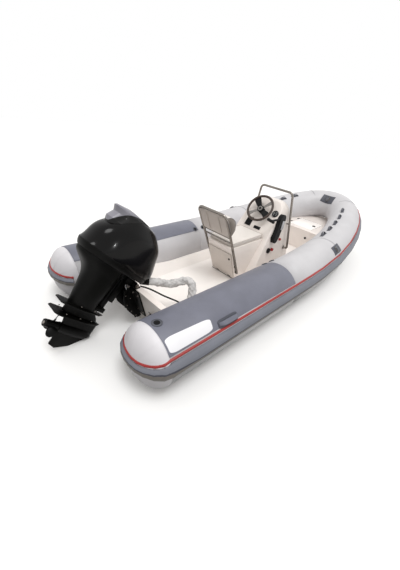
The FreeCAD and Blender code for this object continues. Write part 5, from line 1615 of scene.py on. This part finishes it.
# Rigging
@dataclass
class Rigging:
    """Canvas sleeve over the motor's hoses and the control cable."""

    boot_route: tuple = ((189.2, -92, 436.6), (268, -146, 424), (345, -200, 404), (424, -248, 424),
                         (486, -300, 456), (508, -350, 430), (486, -384, 364), (452, -402, 296),
                         (432, -412, 232))
    cable_route: tuple = ((84, -108, 428), (112, -172, 436), (158, -232, 412), (212, -282, 372),
                          (274, -326, 336), (334, -370, 300), (366, -412, 258),
                          (386, -460.7, 226))
    boot_radius: float = 40 * MM
    cable_radius: float = 7.5 * MM

    def line(self, route: Sequence[tuple[float, float, float]], name: str) -> list[Vector]:
        """Points of a smooth line laid through the given route.

        Args:
            route: Places in millimetres.
            name: A name for the curve.

        Returns:
            The line's points, in metres.
        """
        curve = bpy.data.curves.new(name, "CURVE")
        curve.dimensions = "3D"
        curve.resolution_u = 14
        spline = curve.splines.new("NURBS")
        spline.points.add(len(route) - 1)
        for point, place in zip(spline.points, route):
            point.co = (*(Vector(place) * MM), 1)
        spline.order_u = 3
        spline.use_endpoint_u = True
        holder = bpy.data.objects.new(name, curve)
        bpy.context.collection.objects.link(holder)
        mesh = bpy.data.meshes.new_from_object(holder)
        points = [vertex.co.copy() for vertex in mesh.vertices]
        bpy.data.objects.remove(holder)
        return points

    @staticmethod
    def sleeve(points: Sequence[Vector], name: str, sides: int,
               radius: Callable[[float, float], float]) -> bpy.types.Object:
        """A closed tube round a line, with a radius that changes along and round it.

        Args:
            points: The line's points.
            name: The object's name.
            sides: Faces round the tube.
            radius: Radius at a share along the line and a turn round it.

        Returns:
            The mesh object.
        """
        lengths = [0.0]
        for before, here in zip(points, points[1:]):
            lengths.append(lengths[-1] + (here - before).length)
        mesh, form = bpy.data.meshes.new(name), bmesh.new()
        ahead = (points[1] - points[0]).normalized()
        side = ahead.orthogonal().normalized()
        rings = []
        for index, here in enumerate(points):
            low, high = max(index - 1, 0), min(index + 1, len(points) - 1)
            now = (points[high] - points[low]).normalized()
            side = (side - now * side.dot(now)).normalized()
            up, share = now.cross(side), lengths[index] / lengths[-1]
            ring = []
            for number in range(sides):
                turn = 2 * math.pi * number / sides
                reach = radius(share, turn)
                ring.append(form.verts.new(
                    here + (side * math.cos(turn) + up * math.sin(turn)) * reach))
            rings.append(ring)
        for near, far in zip(rings, rings[1:]):
            for number in range(sides):
                after = (number + 1) % sides
                form.faces.new((near[number], near[after], far[after], far[number]))
        form.faces.new(list(reversed(rings[0])))
        form.faces.new(rings[-1])
        bmesh.ops.recalc_face_normals(form, faces=form.faces)
        form.to_mesh(mesh)
        form.free()
        piece = bpy.data.objects.new(name, mesh)
        bpy.context.collection.objects.link(piece)
        activate(piece)
        bpy.ops.object.shade_smooth_by_angle(angle=math.radians(60))
        return piece

    def halves(self, points: Sequence[Vector], name: str, split: float, sides: int,
               radius: Callable[[float, float], float], finish: Finish, node: str) -> None:
        """Lay a hose as two pieces that meet where both follow the swivel bracket.

        Args:
            points: The hose's line.
            name: Start of both pieces' names.
            split: Share of the points in the motor's half.
            sides: Faces round the hose.
            radius: Radius at a share along the line and a turn round it.
            finish: The hose's finish.
            node: The CAD node that it replaces.
        """
        cut = int(len(points) * split)
        motor_end, boat_end = points[:cut + 1], points[cut:]
        first = self.sleeve(motor_end, name + "_motor_end", sides,
                            lambda share, turn: radius(share * split, turn))
        second = self.sleeve(boat_end, name + "_boat_end", sides,
                             lambda share, turn: radius(split + share * (1 - split), turn))
        for piece in (first, second):
            piece.data.materials.append(finish.build())
            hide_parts(node)
        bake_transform(first)
        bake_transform(second)

    def build(self) -> None:
        """Sleeve, cable, and the clamp at the sleeve's boat end."""
        points = self.line(self.boot_route, "boot_line")

        def gathered(share: float, turn: float) -> float:
            """Soft folds across the sleeve, drawn in at both ends.

            Args:
                share: Share along the sleeve.
                turn: Angle round it.

            Returns:
                The sleeve's radius there.
            """
            fold = math.sin(share * 52 + 2.4 * math.sin(turn * 2 + share * 11))
            fold += 0.7 * math.sin(share * 97 + 2.8 * math.sin(turn * 3 + 1 - share * 7))
            ends = min(share / 0.05, (1 - share) / 0.05, 1)
            return self.boot_radius * (0.93 + 0.085 * fold * ends)

        self.halves(points, "rigging_sleeve", 0.42, 40, gathered, BOOT_CANVAS, "rigging_boot")
        points = self.line(self.cable_route, "cable_line")
        self.halves(points, "control_cable", 0.42, 16, lambda share, turn: self.cable_radius,
                    CABLE_RUBBER, "control_cable")
        boot_end = Vector(self.boot_route[-1]) * MM
        down = (boot_end - Vector(self.boot_route[-2]) * MM).normalized()
        plug = stepped_disc(boot_end - down * 30 * MM, down, 39 * MM, ((10 * MM, 10 * MM),),
                            34 * MM, 36)
        plug.name = "sleeve_clamp"
        soften(plug, 2 * MM)
        dress(plug, BLACK_PLASTIC, "boat")


# Floor, light and camera
@dataclass
class Studio:
    """Pale floor at the waterline, soft light and the photograph's view."""

    focal_px: float = 280.24
    long_side_px: float = 570.0
    place: tuple = (-1.10364, -1.94895, 1.87050)
    yaw: float = 42.90
    pitch: float = 32.46
    roll: float = 7.06

    def camera(self) -> None:
        """Camera with the calibrated place, turn and focal length."""
        yaw, pitch, roll = (math.radians(a) for a in (self.yaw, self.pitch, self.roll))
        ahead = Vector((math.cos(yaw) * math.cos(pitch), math.sin(yaw) * math.cos(pitch),
                        -math.sin(pitch)))
        right = Vector((math.sin(yaw), -math.cos(yaw), 0))
        above = right.cross(ahead)
        across = right * math.cos(roll) + above * math.sin(roll)
        upward = above * math.cos(roll) - right * math.sin(roll)
        data = bpy.data.cameras.new("camera")
        data.sensor_fit = "AUTO"
        data.sensor_width = 36
        data.lens = self.focal_px / self.long_side_px * 36
        data.dof.use_dof = False
        data.clip_end = 100
        camera = bpy.data.objects.new("camera", data)
        bpy.context.collection.objects.link(camera)
        turn = Matrix((across, upward, -ahead)).transposed().to_4x4()
        camera.matrix_world = Matrix.Translation(Vector(self.place)) @ turn
        bpy.context.scene.camera = camera

    @staticmethod
    def seen_rays(tree: bpy.types.NodeTree) -> bpy.types.NodeSocket:
        """1 for the rays that show the white background: camera, glossy and transmission rays.

        Args:
            tree: The node tree.

        Returns:
            A socket that is 1 for those rays.
        """
        path = add_node(tree, "LightPath")
        seen = add_node(tree, "Math", {"operation": "MAXIMUM"},
                        {0: path.outputs["Is Camera Ray"], 1: path.outputs["Is Glossy Ray"]})
        return add_node(tree, "Math", {"operation": "MAXIMUM"},
                        {0: seen.outputs[0], 1: path.outputs["Is Transmission Ray"]}).outputs[0]

    def light(self) -> None:
        """Sky that dims towards the horizon, a soft sun overhead, and a small lamp for a highlight.

        Camera, glossy and transmission rays see plain white instead of the sky.
        """
        world = bpy.data.worlds.new("sky")
        bpy.context.scene.world = world
        world.use_nodes = True
        tree = world.node_tree
        tree.nodes.clear()
        rays = add_node(tree, "SeparateXYZ", {},
                        {0: add_node(tree, "TexCoord").outputs["Generated"]})
        height = add_node(tree, "MapRange", {1: 0.0, 2: 0.55, 3: 0.16, 4: 1.0},
                          {0: rays.outputs["Z"]})
        sky = add_node(tree, "Background", {"Color": paint("#FFFDFA")},
                       {"Strength": height.outputs[0]})
        white = add_node(tree, "Background", {"Strength": 1.0, "Color": paint("#FFFFFF")})
        seen = self.seen_rays(tree)
        mixed = add_node(tree, "MixShader", {}, {0: seen, 1: sky.outputs[0],
                                                 2: white.outputs[0]})
        add_node(tree, "OutputWorld", {}, {"Surface": mixed.outputs[0]})
        for name, strength, angle, turn in (("sun", 1.2, 24, (16, -4, 0)),
                                            ("glint", 0.24, 3.5, (81, 0, 8))):
            lamp = bpy.data.lights.new(name, "SUN")
            lamp.energy = strength
            lamp.angle = math.radians(angle)
            holder = bpy.data.objects.new(name, lamp)
            bpy.context.collection.objects.link(holder)
            holder.rotation_euler = [math.radians(a) for a in turn]

    def floor(self) -> None:
        """Floor at the waterline: white to the eye and in gloss, and dark to bounced light.

        The dark side keeps the boat's underside in shade, as in the photograph.
        """
        deselect()
        bpy.ops.mesh.primitive_plane_add(size=40, location=(2, 0, 0))
        floor = settle(bpy.context.object)
        floor.name = "floor"
        material = bpy.data.materials.new("floor_paper")
        material.use_nodes = True
        tree = material.node_tree
        shader = tree.nodes["Principled BSDF"]
        shader.inputs["Roughness"].default_value = 0.95
        tone = add_node(tree, "Mix",
                        {"data_type": "RGBA", 6: paint("#262422"), 7: paint("#F8F8F8")},
                        {0: self.seen_rays(tree)})
        tree.links.new(tone.outputs[2], shader.inputs["Base Color"])
        floor.data.materials.append(material)

    def build(self) -> None:
        """The whole set."""
        self.camera()
        self.light()
        self.floor()


def main() -> None:
    """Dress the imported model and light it."""
    logging.basicConfig(level=logging.INFO, format="%(name)s: %(message)s")
    view = bpy.context.scene.view_settings
    view.view_transform = "Standard"
    Rigging().build()
    AirTubes().build()
    Mouldings().build()
    SoftSeats().build()
    SteelFrames().build()
    Dash().build()
    Outboard().build()
    Studio().build()


if __name__ == "__main__":
    main()
